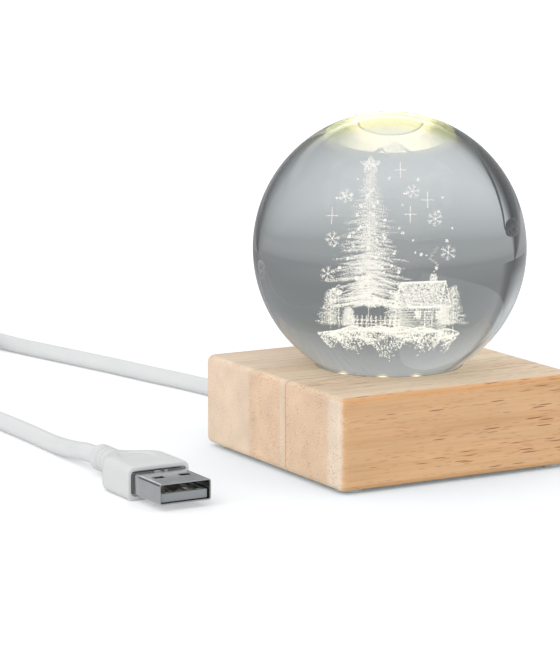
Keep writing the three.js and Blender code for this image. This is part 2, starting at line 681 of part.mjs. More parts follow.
// The plastic tongue in the lower half of the shell, and the four contacts on it.
function plugTongue(plug) {
  const width = SHELL_WIDTH - 2 * SHELL_WALL - 2 * TOUCH_GAP - 2 * (SHELL_CORNER - SHELL_WALL);
  const low = SHELL_WALL + TOUCH_GAP - SHELL_HEIGHT / 2;
  const length = SHELL_REACH + SHELL_INSET - TONGUE_RECESS;
  const bar = new THREE.BoxGeometry(width, length, TONGUE_HEIGHT);
  bar.translate(0, TONGUE_RECESS + length / 2, low + TONGUE_HEIGHT / 2);
  addPiece("plug_tongue", bar, MATERIALS.tongue, plug);
  const top = low + TONGUE_HEIGHT + TOUCH_GAP / 2;
  for (let index = 0; index < CONTACTS; index += 1) {
    const x = (index - (CONTACTS - 1) / 2) * CONTACT_PITCH;
    const strip = new THREE.BoxGeometry(CONTACT_WIDTH, CONTACT_LENGTH, CONTACT_THICKNESS);
    strip.translate(x, CONTACT_RECESS + CONTACT_LENGTH / 2, top + CONTACT_THICKNESS / 2);
    addPiece(`plug_contact_${index + 1}`, strip, MATERIALS.gold, plug);
  }
}

// The plug lies on the table with its mouth towards -Y.
function usbPlug() {
  const plug = new THREE.Group();
  plug.position.set(PLUG_X, PLUG_FRONT_Y, PLUG_AXIS_HEIGHT);
  plugBoot(plug);
  plugShell(plug);
  plugTongue(plug);
  lamp.add(plug);
}

// The spare lead, wound as one line: inwards in a lower layer, up, and outwards in an upper one.
class CoilCurve extends THREE.Curve {
  // Radius, height and angle after a number of turns.
  place(turns) {
    const middle = COIL_TURNS / 2;
    const quarter = 1 / 4;
    const away = Math.abs(turns - middle);
    const rounded = away < quarter ? (away * away) / (2 * quarter) + quarter / 2 : away;
    const climb = THREE.MathUtils.smoothstep(turns, middle - quarter, middle + quarter);
    return {
      radius: COIL_INNER_RADIUS + COIL_PITCH * rounded,
      height: COIL_LOW + COIL_PITCH * climb,
      angle: THREE.MathUtils.degToRad(COIL_START_ANGLE) + 2 * Math.PI * turns,
    };
  }

  spiral(turns) {
    const { radius, height, angle } = this.place(turns);
    const x = COIL_CENTRE_X + radius * Math.cos(angle);
    const y = COIL_CENTRE_Y + radius * Math.sin(angle);
    return new THREE.Vector3(x, y, height);
  }

  // The direction in which the lead runs at one end of the winding.
  heading(turns) {
    const { radius, angle } = this.place(turns);
    const drift = (Math.sign(turns - COIL_TURNS / 2) * COIL_PITCH) / (2 * Math.PI);
    const x = drift * Math.cos(angle) - radius * Math.sin(angle);
    const y = drift * Math.sin(angle) + radius * Math.cos(angle);
    return new THREE.Vector3(x, y, 0).normalize();
  }

  // Straight for one diameter at each end, and wound between.
  getPoint(share) {
    const straight = CORD_DIAMETER / (2 * Math.PI * COIL_OUTER_RADIUS);
    const turns = share * (COIL_TURNS + 2 * straight) - straight;
    const wound = THREE.MathUtils.clamp(turns, 0, COIL_TURNS);
    const past = (turns - wound) * 2 * Math.PI * COIL_OUTER_RADIUS;
    return this.spiral(wound).addScaledVector(this.heading(wound), past);
  }
}

const coilCurve = new CoilCurve();
coilCurve.arcLengthDivisions = 2000;

// The least air between two stretches of a curve that are more than half a turn apart.
function leastGap(curve, steps, apart, diameter) {
  const points = curve.getSpacedPoints(steps);
  let least = Infinity;
  for (let i = 0; i < points.length; i += 1) {
    for (let j = i + apart; j < points.length; j += 1) {
      least = Math.min(least, points[i].distanceTo(points[j]) - diameter);
    }
  }
  return least;
}

// The free lead: from the bush to the coil, the coil, and on to the plug.
function freeCord() {
  const start = coilCurve.getPoint(0);
  const end = coilCurve.getPoint(1);
  const inward = coilCurve.heading(0);
  const outward = coilCurve.heading(COIL_TURNS);
  const leadEnd = start.clone().addScaledVector(inward, -SEAT_GAP);
  const leadTurn = leadEnd.clone().addScaledVector(inward, -CORD_DIAMETER);
  const tailStart = end.clone().addScaledVector(outward, SEAT_GAP);
  const tailTurn = tailStart.clone().addScaledVector(outward, CORD_DIAMETER);
  const lead = curveThrough([...LEAD_POINTS, leadTurn.toArray(), leadEnd.toArray()]);
  const tail = curveThrough([tailStart.toArray(), tailTurn.toArray(), ...TAIL_POINTS]);
  const stepLength = 2.5 * CORD_DIAMETER;
  const stepsOf = (curve) => Math.ceil(curve.getLength() / stepLength);
  addPiece("cord_lead", tube(lead, CORD_DIAMETER, CORD_SIDES, 2 * stepsOf(lead)), MATERIALS.pvc);
  addPiece("cord_tail", tube(tail, CORD_DIAMETER, CORD_SIDES, 2 * stepsOf(tail)), MATERIALS.pvc);
  const coilSteps = Math.ceil(COIL_TURNS * COIL_STEPS);
  addPiece("cord_coil", tube(coilCurve, CORD_DIAMETER, COIL_SIDES, coilSteps), MATERIALS.pvc);
  const gap = leastGap(coilCurve, coilSteps, COIL_STEPS / 2, CORD_DIAMETER);
  const lengths = [lead, coilCurve, tail].map((curve) => curve.getLength());
  const whole = lengths.reduce((sum, length) => sum + length, 2 * SEAT_GAP);
  console.log(`coil: least gap to itself ${gap.toFixed(2)} mm`);
  console.log(`lead ${lengths.map((length) => length.toFixed(1)).join(" + ")}, in all ${whole.toFixed(1)} mm`);
}

// The strap that holds the coil together at one place.
function cordTie() {
  const angle = THREE.MathUtils.degToRad(TIE_ANGLE);
  const across = new THREE.Vector3(Math.cos(angle), Math.sin(angle), 0);
  const along = new THREE.Vector3(-Math.sin(angle), Math.cos(angle), 0);
  const centre = new THREE.Vector3(COIL_CENTRE_X, COIL_CENTRE_Y, 0);
  const held = coilCurve
    .getSpacedPoints(TIE_SAMPLES)
    .map((point) => point.sub(centre))
    .filter((point) => Math.abs(point.dot(along)) < TIE_WIDTH / 2 && point.dot(across) > 0)
    .map((point) => point.dot(across));
  const reach = CORD_RADIUS + 2 * SEAT_GAP;
  const inner = Math.min(...held) - reach;
  const outer = Math.max(...held) + reach;
  const height = 2 * CORD_DIAMETER + COIL_GAP + 2 * SEAT_GAP;
  const corner = CORD_RADIUS;
  const strap = roundedRectangle(
    outer - inner + 2 * TIE_THICKNESS,
    height + 2 * TIE_THICKNESS,
    corner + TIE_THICKNESS,
  );
  strap.holes.push(roundedRectangle(outer - inner, height, corner, THREE.Path));
  const settings = { depth: TIE_WIDTH, bevelEnabled: false, curveSegments: CORNER_STEPS };
  const band = new THREE.ExtrudeGeometry(strap, settings).rotateX(Math.PI / 2);
  band.translate(0, TIE_WIDTH / 2, 0);
  const tie = addPiece("cord_tie", band, MATERIALS.tie);
  const middle = (inner + outer) / 2;
  tie.position.copy(centre).addScaledVector(across, middle);
  tie.position.z = TIE_THICKNESS + height / 2;
  tie.rotation.z = angle;
}

woodenBase();
seatRing();
crystalBall();
ledBoard();
cordEntry();
wireAt("wire_red", -1, MATERIALS.redWire);
wireAt("wire_black", 1, MATERIALS.blackWire);
bottomCover();
feet();
usbPlug();
freeCord();
cordTie();

export default lamp;
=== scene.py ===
"""Looks of a small crystal ball lamp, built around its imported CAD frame.

A solid ball of optical glass, with a winter picture engraved inside it, rests on a clear ring
in a square rubberwood base. Six LEDs under the ball light it, and a white USB lead feeds them.

Sizes in the classes are millimetres in the frame of the CAD model. Meshes are in metres.
"""
import logging
import math
from collections.abc import Callable, Iterable, Sequence
from dataclasses import dataclass
from enum import Enum

import bmesh
import bpy
import numpy as np
from mathutils import Matrix, Vector


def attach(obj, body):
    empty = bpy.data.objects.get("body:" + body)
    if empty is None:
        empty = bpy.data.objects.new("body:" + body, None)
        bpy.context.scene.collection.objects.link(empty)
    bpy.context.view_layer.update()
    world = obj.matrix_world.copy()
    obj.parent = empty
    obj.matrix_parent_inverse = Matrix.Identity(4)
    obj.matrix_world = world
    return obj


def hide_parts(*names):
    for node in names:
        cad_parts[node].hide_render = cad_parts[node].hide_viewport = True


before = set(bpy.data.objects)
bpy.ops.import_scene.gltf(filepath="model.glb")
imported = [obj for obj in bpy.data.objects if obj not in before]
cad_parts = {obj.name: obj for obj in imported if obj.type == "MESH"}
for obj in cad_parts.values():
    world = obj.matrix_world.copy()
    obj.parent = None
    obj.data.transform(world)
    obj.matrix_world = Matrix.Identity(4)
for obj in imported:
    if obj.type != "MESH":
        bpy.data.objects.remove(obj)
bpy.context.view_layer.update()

LOG = logging.getLogger("lamp")
MM = 0.001
FULL_TURN = 2 * math.pi
GOLDEN_ANGLE = 2.39996  # radians
VIEW_YAW = -29.66  # degrees that the photograph's view is turned from the front

# Sizes that several pieces share, in millimetres
BALL_RADIUS = 30
BALL_CENTRE = 46.5
ENTRY_HEIGHT = 7.45
FOOT_PLACE = 25.2
COVER_SCREW_PLACE = 19
BOARD_SCREW_RADIUS = 18.576
BOARD_SCREWS = 3
PLUG_X = -63.6
PLUG_AXIS = 3.7

WORK_NAME = "work"
# Painted shade: white plastic seen through the ball turns this dark grey, so that the coil sinks into the
# dark band there
DIM_BEHIND_GLASS = "#4c4f51"  # what white plastic shows to rays through the ball
TRANSMITTED = "Is Transmission Ray"
RING_SCALE = 0.314  # scale at which the rings of a wave texture are one unit apart

Socket = bpy.types.NodeSocket
Place = Sequence[float]


class Body(Enum):
    """The CAD bodies that a piece can ride on."""

    BASE = "base"
    SEAT = "seat"
    BALL = "ball"


class Element(Enum):
    """What the bench can pick in edit mode."""

    EDGES = "EDGE"
    FACES = "FACE"


def colour(code: str) -> tuple[float, float, float, float]:
    """Turn an sRGB hex code into linear light.

    Args:
        code: Six hex digits after a hash sign.

    Returns:
        Red, green, blue and an alpha of one.
    """
    parts = [int(code[start : start + 2], 16) / 255 for start in (1, 3, 5)]
    linear = [part / 12.92 if part <= 0.04045 else ((part + 0.055) / 1.055) ** 2.4 for part in parts]
    return (*linear, 1.0)


def add_node(
    tree: bpy.types.NodeTree, kind: str, settings: dict | None = None, inputs: dict | None = None
) -> bpy.types.Node:
    """Add one node with its settings, values and links.

    Args:
        tree: The node tree that the node joins.
        kind: The node's Blender type, without its leading "ShaderNode".
        settings: Properties of the node by name.
        inputs: Sockets to link from, hex colours or values, by input name or number.

    Returns:
        The new node.
    """
    added = tree.nodes.new("ShaderNode" + kind)
    for key, value in (settings or {}).items():
        setattr(added, key, value)
    for key, value in (inputs or {}).items():
        if isinstance(value, Socket):
            tree.links.new(value, added.inputs[key])
        else:
            added.inputs[key].default_value = colour(value) if isinstance(value, str) else value
    return added


@dataclass
class Graph:
    """A node tree, with short ways to add the nodes that finishes and studio share."""

    tree: bpy.types.NodeTree

    def calc(self, operation: str, *values: float | Socket) -> Socket:
        """Do arithmetic on numbers or sockets."""
        inputs = dict(enumerate(values))
        return add_node(self.tree, "Math", {"operation": operation}, inputs).outputs[0]

    def times(self, product: float | Socket, *others: float | Socket) -> Socket:
        """Multiply numbers or sockets."""
        for other in others:
            product = self.calc("MULTIPLY", product, other)
        return product

    def move(self, operation: str, *values: Place | Socket, **inputs: float | Socket) -> Socket:
        """Do arithmetic on vectors."""
        inputs = {**dict(enumerate(values)), **inputs}
        return add_node(self.tree, "VectorMath", {"operation": operation}, inputs).outputs[0]

    def span(self, value: Socket, low: float, high: float, start: float = 0, end: float = 1) -> Socket:
        """Map a value's range from low to high onto start to end, and hold it there."""
        inputs = {"Value": value, "From Min": low, "From Max": high, "To Min": start, "To Max": end}
        return add_node(self.tree, "MapRange", None, inputs).outputs[0]

    def blend(self, share: float | Socket, one: str | Socket, two: str | Socket) -> Socket:
        """Mix two colours."""
        return add_node(self.tree, "Mix", {"data_type": "RGBA"}, {0: share, 6: one, 7: two}).outputs[2]

    def choose(self, share: Socket, one: float | Socket, two: float | Socket) -> Socket:
        """Mix two numbers."""
        return add_node(self.tree, "Mix", {"data_type": "FLOAT"}, {0: share, 2: one, 3: two}).outputs[0]

    def levels(self, value: Socket, stops: Sequence[Place]) -> Socket:
        """Read a curve of straight stretches.

        Args:
            value: Where to read it.
            stops: Places on the curve, in rising order, and the level at each.

        Returns:
            The level.
        """
        low, high = stops[0][0], stops[-1][0]
        node = add_node(self.tree, "ValToRGB", None, {"Fac": self.span(value, low, high)})
        curve = node.color_ramp.elements
        for place, _ in stops[1:-1]:
            curve.new((place - low) / (high - low))
        for stop, (_, level) in zip(curve, stops):
            stop.color = (level, level, level, 1.0)
        return node.outputs["Color"]

    def place(self) -> Socket:
        """Give Object coordinates in millimetres."""
        metres = add_node(self.tree, "TexCoord").outputs["Object"]
        return self.move("SCALE", metres, Scale=1 / MM)

    def cells(self, size: Place, place: Socket | None = None) -> Socket:
        """Count a place in cells.

        Args:
            size: A cell's size along X, Y and Z in millimetres.
            place: The place in millimetres, or none for Object coordinates.

        Returns:
            The place in cells.
        """
        return self.move("MULTIPLY", place or self.place(), tuple(1 / length for length in size))

    def axes(self, vector: Socket) -> tuple[Socket, Socket, Socket]:
        """Split a vector into X, Y and Z."""
        return tuple(add_node(self.tree, "SeparateXYZ", None, {0: vector}).outputs)

    def noise(self, size: Place, detail: float = 2, place: Socket | None = None) -> Socket:
        """Give soft noise with cells of a size in millimetres."""
        inputs = {"Vector": self.cells(size, place), "Scale": 1.0, "Detail": float(detail)}
        return add_node(self.tree, "TexNoise", None, inputs).outputs["Fac"]

    def spots(self, size: Place, place: Socket | None = None, loose: float = 1) -> Socket:
        """Give each place's distance to the nearest scattered point, in cells."""
        inputs = {"Vector": self.cells(size, place), "Scale": 1.0, "Randomness": float(loose)}
        return add_node(self.tree, "TexVoronoi", None, inputs).outputs["Distance"]

    def facing(self) -> tuple[Socket, Socket, Socket]:
        """Give the parts of the surface's normal."""
        return self.axes(add_node(self.tree, "NewGeometry").outputs["Normal"])

    def bump(self, height: Socket, strength: float, depth: float) -> Socket:
        """Turn a height into relief of a depth in millimetres."""
        inputs = {"Height": height, "Strength": strength, "Distance": depth * MM}
        return add_node(self.tree, "Bump", None, inputs).outputs[0]

    def ray(self, kind: str) -> Socket:
        """Tell whether the ray is of one kind, such as "Is Camera Ray"."""
        return add_node(self.tree, "LightPath").outputs[kind]

    def mirrored(self) -> Socket:
        """Tell whether the ray went into one piece of glass, bounced in it and came out."""
        bounced = self.calc("COMPARE", self.ray("Glossy Depth"), 1.0, 0.5)
        through = self.calc("COMPARE", self.ray("Transmission Depth"), 2.0, 0.5)
        return self.times(bounced, through, self.ray(TRANSMITTED))

    def past(self, x: Socket, y: Socket, line: Place) -> Socket:
        """Measure how far a place is past a straight line.

        Args:
            x: The place's X.
            y: Its Y.
            line: The weights of X and Y, and what they add up to on the line.

        Returns:
            The measure, below zero on the near side.
        """
        across, over, start = line
        return self.calc("MULTIPLY_ADD", x, across, self.calc("MULTIPLY_ADD", y, over, -start))

    def from_axis(self, x: Socket, y: Socket) -> Socket:
        """Give the distance from the upright axis."""
        return self.calc("SQRT", self.calc("ADD", self.times(x, x), self.times(y, y)))

    def turn(self, x: Socket, y: Socket) -> Socket:
        """Give the angle round the upright axis, in degrees from X."""
        return self.calc("DEGREES", self.calc("ARCTAN2", y, x))

    def principled(self, **inputs: object) -> Socket:
        """Add the surface shader, its inputs named with underscores for spaces."""
        named = {key.replace("_", " "): value for key, value in inputs.items()}
        return add_node(self.tree, "BsdfPrincipled", None, named).outputs[0]

    def either(self, share: Socket, one: Socket, two: Socket) -> Socket:
        """Mix two shaders."""
        return add_node(self.tree, "MixShader", None, {0: share, 1: one, 2: two}).outputs[0]


def new_material(name: str, fill: Callable[[Graph], Socket]) -> bpy.types.Material:
    """Make a material.

    Args:
        name: Its name.
        fill: Fills its empty node graph and gives the surface's shader.

    Returns:
        The material.
    """
    made = bpy.data.materials.new(name)
    made.use_nodes = True
    made.node_tree.nodes.clear()
    surface = fill(Graph(made.node_tree))
    add_node(made.node_tree, "OutputMaterial", None, {"Surface": surface})
    return made


@dataclass(frozen=True)
class Finish:
    """What every finish has: the record's slot, and a surface that the subclass describes."""

    slot: str

    def surface(self, graph: Graph) -> Socket:
        """Fill the graph and give the shader socket for the surface."""
        raise NotImplementedError

    def material(self) -> bpy.types.Material:
        """Give the material of this finish, made on first use."""
        name = type(self).__name__ + "_" + self.slot
        return bpy.data.materials.get(name) or new_material(name, self.surface)


@dataclass(frozen=True)
class Rubberwood(Finish):
    """Sanded and thinly oiled rubberwood in three glued staves, with its grain along X.

    One solid pattern runs through the block, so that its pores are short red-brown dashes on the
    long-grain sides and fine speckles on the end grain. A painted orange highlight runs along the
    rounded top and bottom edges of the front and back. The wall of the well glows with painted light
    in place of the LEDs' light, a painted pool of that light lies on the top beside the socket, and
    wood seen through the ball takes a painted yellowish tint.
    """

    slot: str = "wood"
    face: str = "#ffe7c8"
    end_grain: str = "#f6d5b6"
    pale: str = "#fdebd6"
    side: str = "#ecbe90"
    late_wood: str = "#cf915c"
    # Painted highlight: a warm orange line on the rounded top and bottom edges of the front and back
    edge: str = "#e8a868"
    pore: str = "#8c4527"
    speckle: str = "#c07a58"
    glue: str = "#c79a72"
    # Painted light: the warm glow of the well's wall in place of the LEDs' light
    lit: str = "#fdf0bb"
    # Painted light: a pool of the LEDs' light on the top beside the socket
    spill: str = "#f2eeb0"
    # Painted light: the yellowish tint that wood shows to rays through the ball
    through_glass: str = "#dedbae"
    # The grey that bounce rays see, so that the wood throws no warm light on the floor
    cast: str = "#d6d9da"
    ring_spacing: float = 6.5
    staves: tuple[float, float] = (-6.5, 9.5)
    pale_from: float = -24.5
    well: tuple[float, float, float] = (12.3, 13.9, 17.85)
    through_share: float = 0.75
    own_strength: float = 0.6
    lit_strength: float = 6.4
    spill_strength: float = 2.2
    spill_reach: tuple[float, float] = (16.0, 25.0)
    stave_shift: tuple[float, float, float] = (37.0, 11.0, 23.0)
    heart: tuple[float, float, float] = (0.0, 46.0, 61.0)
    lean: tuple[float, float, float] = (0.0, math.radians(2), math.radians(3))

    def surface(self, graph: Graph) -> Socket:
        """Mix the stave, ring, fibre, pore and glue patterns into one oiled surface."""
        whole = graph.place()
        x, y, z = graph.axes(whole)
        number = graph.calc("ADD", *(graph.calc("GREATER_THAN", y, line) for line in self.staves))
        stave = graph.move("ADD", whole, graph.move("SCALE", self.stave_shift, Scale=number))
        heart = graph.move("ADD", stave, self.heart)
        leaning = add_node(graph.tree, "Mapping", None, {"Vector": heart, "Rotation": self.lean}).outputs[0]
        waves = {"wave_type": "RINGS", "rings_direction": "X"}
        scale = RING_SCALE / self.ring_spacing
        inputs = {"Vector": leaning, "Scale": scale, "Distortion": 3.0, "Detail": 2.0, "Detail Scale": 0.3}
        rings = add_node(graph.tree, "TexWave", waves, inputs).outputs["Fac"]
        broad = graph.noise((60, 9, 9), 2, stave)
        streak = graph.noise((26, 1.3, 1.3), 3, stave)
        fibre = graph.noise((14, 0.36, 0.36), 3, stave)

        normal_x, normal_y, normal_z = (graph.calc("ABSOLUTE", part) for part in graph.facing())
        endwise = graph.span(normal_x, 0.6, 0.9)
        long_grain = graph.calc("SUBTRACT", 1.0, endwise)
        far = graph.span(y, self.staves[1] - 1, self.staves[1] + 1)
        near = graph.times(endwise, graph.span(y, self.pale_from - 0.8, self.pale_from + 0.8, 1, 0))
        base = graph.blend(endwise, self.face, self.end_grain)
        base = graph.blend(graph.span(normal_y, 0.3, 0.9), base, self.side)
        off_band = graph.calc("ABSOLUTE", graph.calc("SUBTRACT", y, self.staves[0] + 1.4))
        paler = graph.calc("MAXIMUM", graph.times(far, 0.45), graph.times(near, 0.8))
        paler = graph.calc("MAXIMUM", paler, graph.span(off_band, 0.8, 1.3, 0.4, 0))
        base = graph.blend(paler, base, self.pale)
        shade = graph.calc(
            "ADD",
            graph.times(graph.span(rings, 0.4, 1.0, 0, 0.12), graph.span(endwise, 0, 1, 1, 0.35)),
            graph.times(graph.span(streak, 0.45, 0.75, 0, 0.26), long_grain),
        )
        body = graph.blend(shade, base, self.late_wood)
        # Painted highlight: orange on the rounded top and bottom edges of the front and back, by facing
        rounded = graph.span(graph.times(normal_y, normal_z), 0.15, 0.42, 0, 0.6)
        body = graph.blend(rounded, body, self.edge)
        light = graph.times(graph.span(broad, 0.3, 0.7, 0.92, 1.06), graph.span(fibre, 0.3, 0.7, 0.93, 1.05))
        toned = graph.move("SCALE", body, Scale=light)

        crowding = graph.noise((24, 3.2, 3.2), 1, stave)
        reach = graph.span(crowding, 0.4, 0.62, 0.04, 0.27)
        inside = graph.calc("SUBTRACT", reach, graph.spots((9.5, 0.52, 0.52), stave))
        clean = graph.span(far, 0, 1, 1, 0.45)
        dash = graph.times(graph.span(inside, 0.0, 0.09, 0, 0.8), graph.span(endwise, 0, 1, 1, 0.5), clean)
        dotted = graph.blend(dash, toned, self.pore)
        near_speck = graph.spots((4.2, 0.5, 0.5), stave)
        fine = graph.calc("SUBTRACT", graph.span(crowding, 0.3, 0.7, 0.2, 0.36), near_speck)
        speck = graph.times(graph.span(fine, 0.0, 0.12, 0, 0.5), graph.span(endwise, 0, 1, 0.7, 1), clean)
        speckled = graph.blend(speck, dotted, self.speckle)
        off_glue = graph.calc("ABSOLUTE", graph.calc("SUBTRACT", y, self.staves[0]))
        glued = graph.blend(graph.span(off_glue, 0.24, 0.08, 0, 0.65), speckled, self.glue)

        height = graph.calc("SUBTRACT", fibre, graph.times(dash, 2.0))
        # Painted light: the wall of the well glows, weakly to most rays and strongly to rays that bounced
        # inside the ball
        radius, low, high = self.well
        away = graph.from_axis(x, y)
        tall = graph.times(graph.calc("GREATER_THAN", z, low), graph.calc("LESS_THAN", z, high))
        in_well = graph.times(graph.calc("LESS_THAN", away, radius), tall)
        power = graph.choose(graph.mirrored(), self.own_strength, self.lit_strength)
        # Painted pool of light on the top beside the socket, seen only by rays that bounced inside the ball
        beside = graph.span(away, *self.spill_reach, self.spill_strength, 0)
        spilled = graph.times(beside, graph.mirrored(), normal_z)
        # Painted light: to rays through the ball, the wood turns mostly yellowish grey
        through = graph.times(graph.ray(TRANSMITTED), self.through_share)
        shown = graph.blend(through, glued, self.through_glass)
        # Bounce rays see grey wood, so that no warm light from it falls on the floor beside it
        return graph.principled(
            Base_Color=graph.blend(graph.ray("Is Diffuse Ray"), shown, self.cast),
            Roughness=graph.span(fibre, 0.2, 0.8, 0.44, 0.62),
            Specular_IOR_Level=0.35,
            Normal=graph.bump(height, 0.1, 0.08),
            Emission_Color=graph.blend(in_well, self.spill, self.lit),
            Emission_Strength=graph.choose(in_well, spilled, power),
        )


@dataclass(frozen=True)
class OpticalGlass(Finish):
    """Polished K9 borosilicate crown glass: clear and sharp, with strongly bent outlines.

    Lamps shine through it, as they do through the real ball, with a little loss.
    """

    slot: str = "glass_ball"
    tint: str = "#f3f9fa"
    index: float = 1.517
    shade: str = "#dcdfe0"

    def surface(self, graph: Graph) -> Socket:
        """Clear glass that lets shadow rays pass."""
        glass = graph.principled(
            Base_Color=self.tint, Roughness=0.0, IOR=self.index, Transmission_Weight=1.0
        )
        open_glass = add_node(graph.tree, "BsdfTransparent", None, {"Color": self.shade}).outputs[0]
        return graph.either(graph.ray("Is Shadow Ray"), glass, open_glass)


@dataclass(frozen=True)
class LaserMark(Finish):
    """Tiny cracks that a laser left in the glass: matt white dots that scatter the LEDs' light.

    Their glow is painted: they shine warm in place of the LEDs' light, most of all low in the ball,
    near the LEDs. The attribute glow varies them.
    """

    slot: str = "glass_ball"
    low_tone: str = "#fffaee"
    high_tone: str = "#f6f0ec"
    low: float = 30.0
    high: float = 62.0
    low_strength: float = 1.08
    high_strength: float = 0.9

    def surface(self, graph: Graph) -> Socket:
        """Glow by height and by each dot's own strength."""
        # Painted light: the glow is strongest low in the ball, near the LEDs
        rise = graph.span(graph.axes(graph.place())[2], self.low, self.high)
        own = add_node(graph.tree, "Attribute", {"attribute_name": "glow"}).outputs["Fac"]
        power = graph.times(graph.span(rise, 0, 1, self.low_strength, self.high_strength), own)
        # A grey base keeps the lamps' share small, so that the painted glow sets the dots' brightness
        return graph.principled(
            Base_Color="#6f6d68",
            Roughness=0.9,
            Specular_IOR_Level=0.0,
            Emission_Color=graph.blend(rise, self.low_tone, self.high_tone),
            Emission_Strength=power,
        )


@dataclass(frozen=True)
class LitSilicone(Finish):
    """Clear moulded silicone that carries the LEDs' light: hazy, with small warm glints.

    Its warm glints and its faint haze of light are painted. Seen by a bounce inside the ball, it
    shows a painted glow, cream at the front and yellowish at the sides.
    """

    slot: str = "clear_silicone"
    tint: str = "#cdc0b3"
    warm: str = "#ffe9b9"
    lit: str = "#eeee92"
    # Painted glints: angles round the ring, in degrees, of warm bright spots on its outer rim
    glints: tuple[float, ...] = (-160, -126.5, -100, -25, 12, 48, 85, 124)
    glint_width: float = 5
    strength: float = 1.3
    # A faint painted glow all round the ring
    haze_glow: float = 0.02
    outer: float = 14.9
    # Painted glow seen by a bounce inside the ball: angle round the ring, and level
    mirrored_levels: tuple[Place, ...] = (
        (-180, 2.6), (-172, 5), (-160, 9), (-121, 12), (-88, 9), (-74, 5), (-63, 2.0), (-50, 0.9), (0, 0.5),
        (150, 0.9), (172, 1.8), (180, 2.4)
    )

    def surface(self, graph: Graph) -> Socket:
        """Paint a faint haze of light with warm glints."""
        x, y, _ = graph.axes(graph.place())
        turn = graph.turn(x, y)
        # Painted glints: warm spots at the listed angles, only on the ring's outer rim
        peaks = []
        for place in self.glints:
            peaks += [(place - self.glint_width, 0), (place, 1), (place + self.glint_width, 0)]
        glint = graph.levels(turn, ((-180, 0), *peaks, (180, 0)))
        power = graph.span(graph.from_axis(x, y), self.outer, self.outer + 0.4, 0, self.strength)
        own = graph.calc("MULTIPLY_ADD", glint, power, self.haze_glow)
        # Painted glow seen by a bounce inside the ball, by angle round the ring
        inner = graph.levels(turn, self.mirrored_levels)
        tone = graph.blend(graph.span(inner, 2.5, 7, 1, 0), self.warm, self.lit)
        return graph.principled(
            Base_Color=self.tint,
            Roughness=graph.span(graph.noise((2, 2, 2)), 0, 1, 0.2, 0.4),
            IOR=1.41,
            Transmission_Weight=0.1,
            Emission_Color=graph.blend(graph.mirrored(), self.warm, tone),
            Emission_Strength=graph.choose(graph.mirrored(), own, inner),
        )


@dataclass(frozen=True)
class MouldedPlastic(Finish):
    """Injection-moulded or extruded plastic: an even colour under a fine spark-eroded grain."""

    base: str = "#e6e8e7"
    shade: str = "#d8dbdb"
    roughness: float = 0.42
    grain: float = 0.12
    relief: float = 0.15
    index: float = 1.53

    def surface(self, graph: Graph) -> Socket:
        """Faint clouds in the colour, and a grain in the gloss and the relief."""
        fine = graph.noise((self.grain,) * 3)
        tone = graph.blend(graph.noise((6, 6, 6), 3), self.base, self.shade)
        return graph.principled(
            # Painted shade: darker to rays through the ball
            Base_Color=graph.blend(graph.ray(TRANSMITTED), tone, DIM_BEHIND_GLASS),
            Roughness=graph.span(fine, 0, 1, self.roughness - 0.06, self.roughness + 0.08),
            IOR=self.index,
            Normal=graph.bump(fine, self.relief, 0.02),
        )


@dataclass(frozen=True)
class PlatedMetal(Finish):
    """Plated and lightly brushed metal: long faint scratches along Y and a few dull clouds."""

    base: str = "#b4b7b9"
    worn: str = "#9ea2a4"
    roughness: float = 0.26

    def surface(self, graph: Graph) -> Socket:
        """Scratches and clouds in the gloss."""
        scratch = graph.noise((0.18, 5.0, 0.18), 3)
        return graph.principled(
            Base_Color=graph.blend(graph.noise((4, 4, 4)), self.base, self.worn),
            Metallic=1.0,
            Roughness=graph.span(scratch, 0.25, 0.75, self.roughness - 0.06, self.roughness + 0.08),
            Normal=graph.bump(scratch, 0.06, 0.01),
        )


@dataclass(frozen=True)
class BoardLaminate(Finish):
    """A glass-fibre circuit board under white solder mask; inside the well it glows with painted light in
    place of its LEDs' light.
    """

    slot: str = "circuit_board"
    mask: str = "#f3f3ee"
    track: str = "#dddccf"
    track_spacing: float = 3.4
    well_radius: float = 11.95
    lit: str = "#fdf6cf"
    lit_strength: float = 5.8
    own_strength: float = 0.5

    def surface(self, graph: Graph) -> Socket:
        """White mask that stands slightly proud over ring-shaped copper tracks."""
        place = graph.place()
        waves = {"wave_type": "RINGS", "rings_direction": "Z"}
        inputs = {"Vector": place, "Scale": RING_SCALE / self.track_spacing}
        share = graph.span(add_node(graph.tree, "TexWave", waves, inputs).outputs["Fac"], 0.6, 0.7)
        x, y, _ = graph.axes(place)
        # Painted light: inside the well the board's top glows, strongly to rays that bounced inside the ball
        upward = graph.calc("GREATER_THAN", graph.facing()[2], 0.9)
        in_well = graph.times(graph.calc("LESS_THAN", graph.from_axis(x, y), self.well_radius), upward)
        power = graph.choose(graph.mirrored(), self.own_strength, self.lit_strength)
        return graph.principled(
            Base_Color=graph.blend(share, self.mask, self.track),
            Roughness=0.34,
            Normal=graph.bump(share, 0.4, 0.04),
            Emission_Color=self.lit,
            Emission_Strength=graph.times(in_well, power),
        )


@dataclass(frozen=True)
class LedPackage(Finish):
    """A white LED case whose sunk round lens holds yellow phosphor that shines warm white."""

    slot: str = "led_lens"
    case: str = "#efe9dc"
    phosphor: str = "#ffe2a0"
    lens_top: float = 15.1
    strength: float = 3.0

    def surface(self, graph: Graph) -> Socket:
        """Only the upward floor of the lens shines."""
        below = graph.calc("LESS_THAN", graph.axes(graph.place())[2], self.lens_top)
        lens = graph.times(below, graph.calc("GREATER_THAN", graph.facing()[2], 0.9))
        return graph.principled(
            Base_Color=graph.blend(lens, self.case, self.phosphor),
            Roughness=0.4,
            Emission_Color=self.phosphor,
            Emission_Strength=graph.times(lens, self.strength),
        )


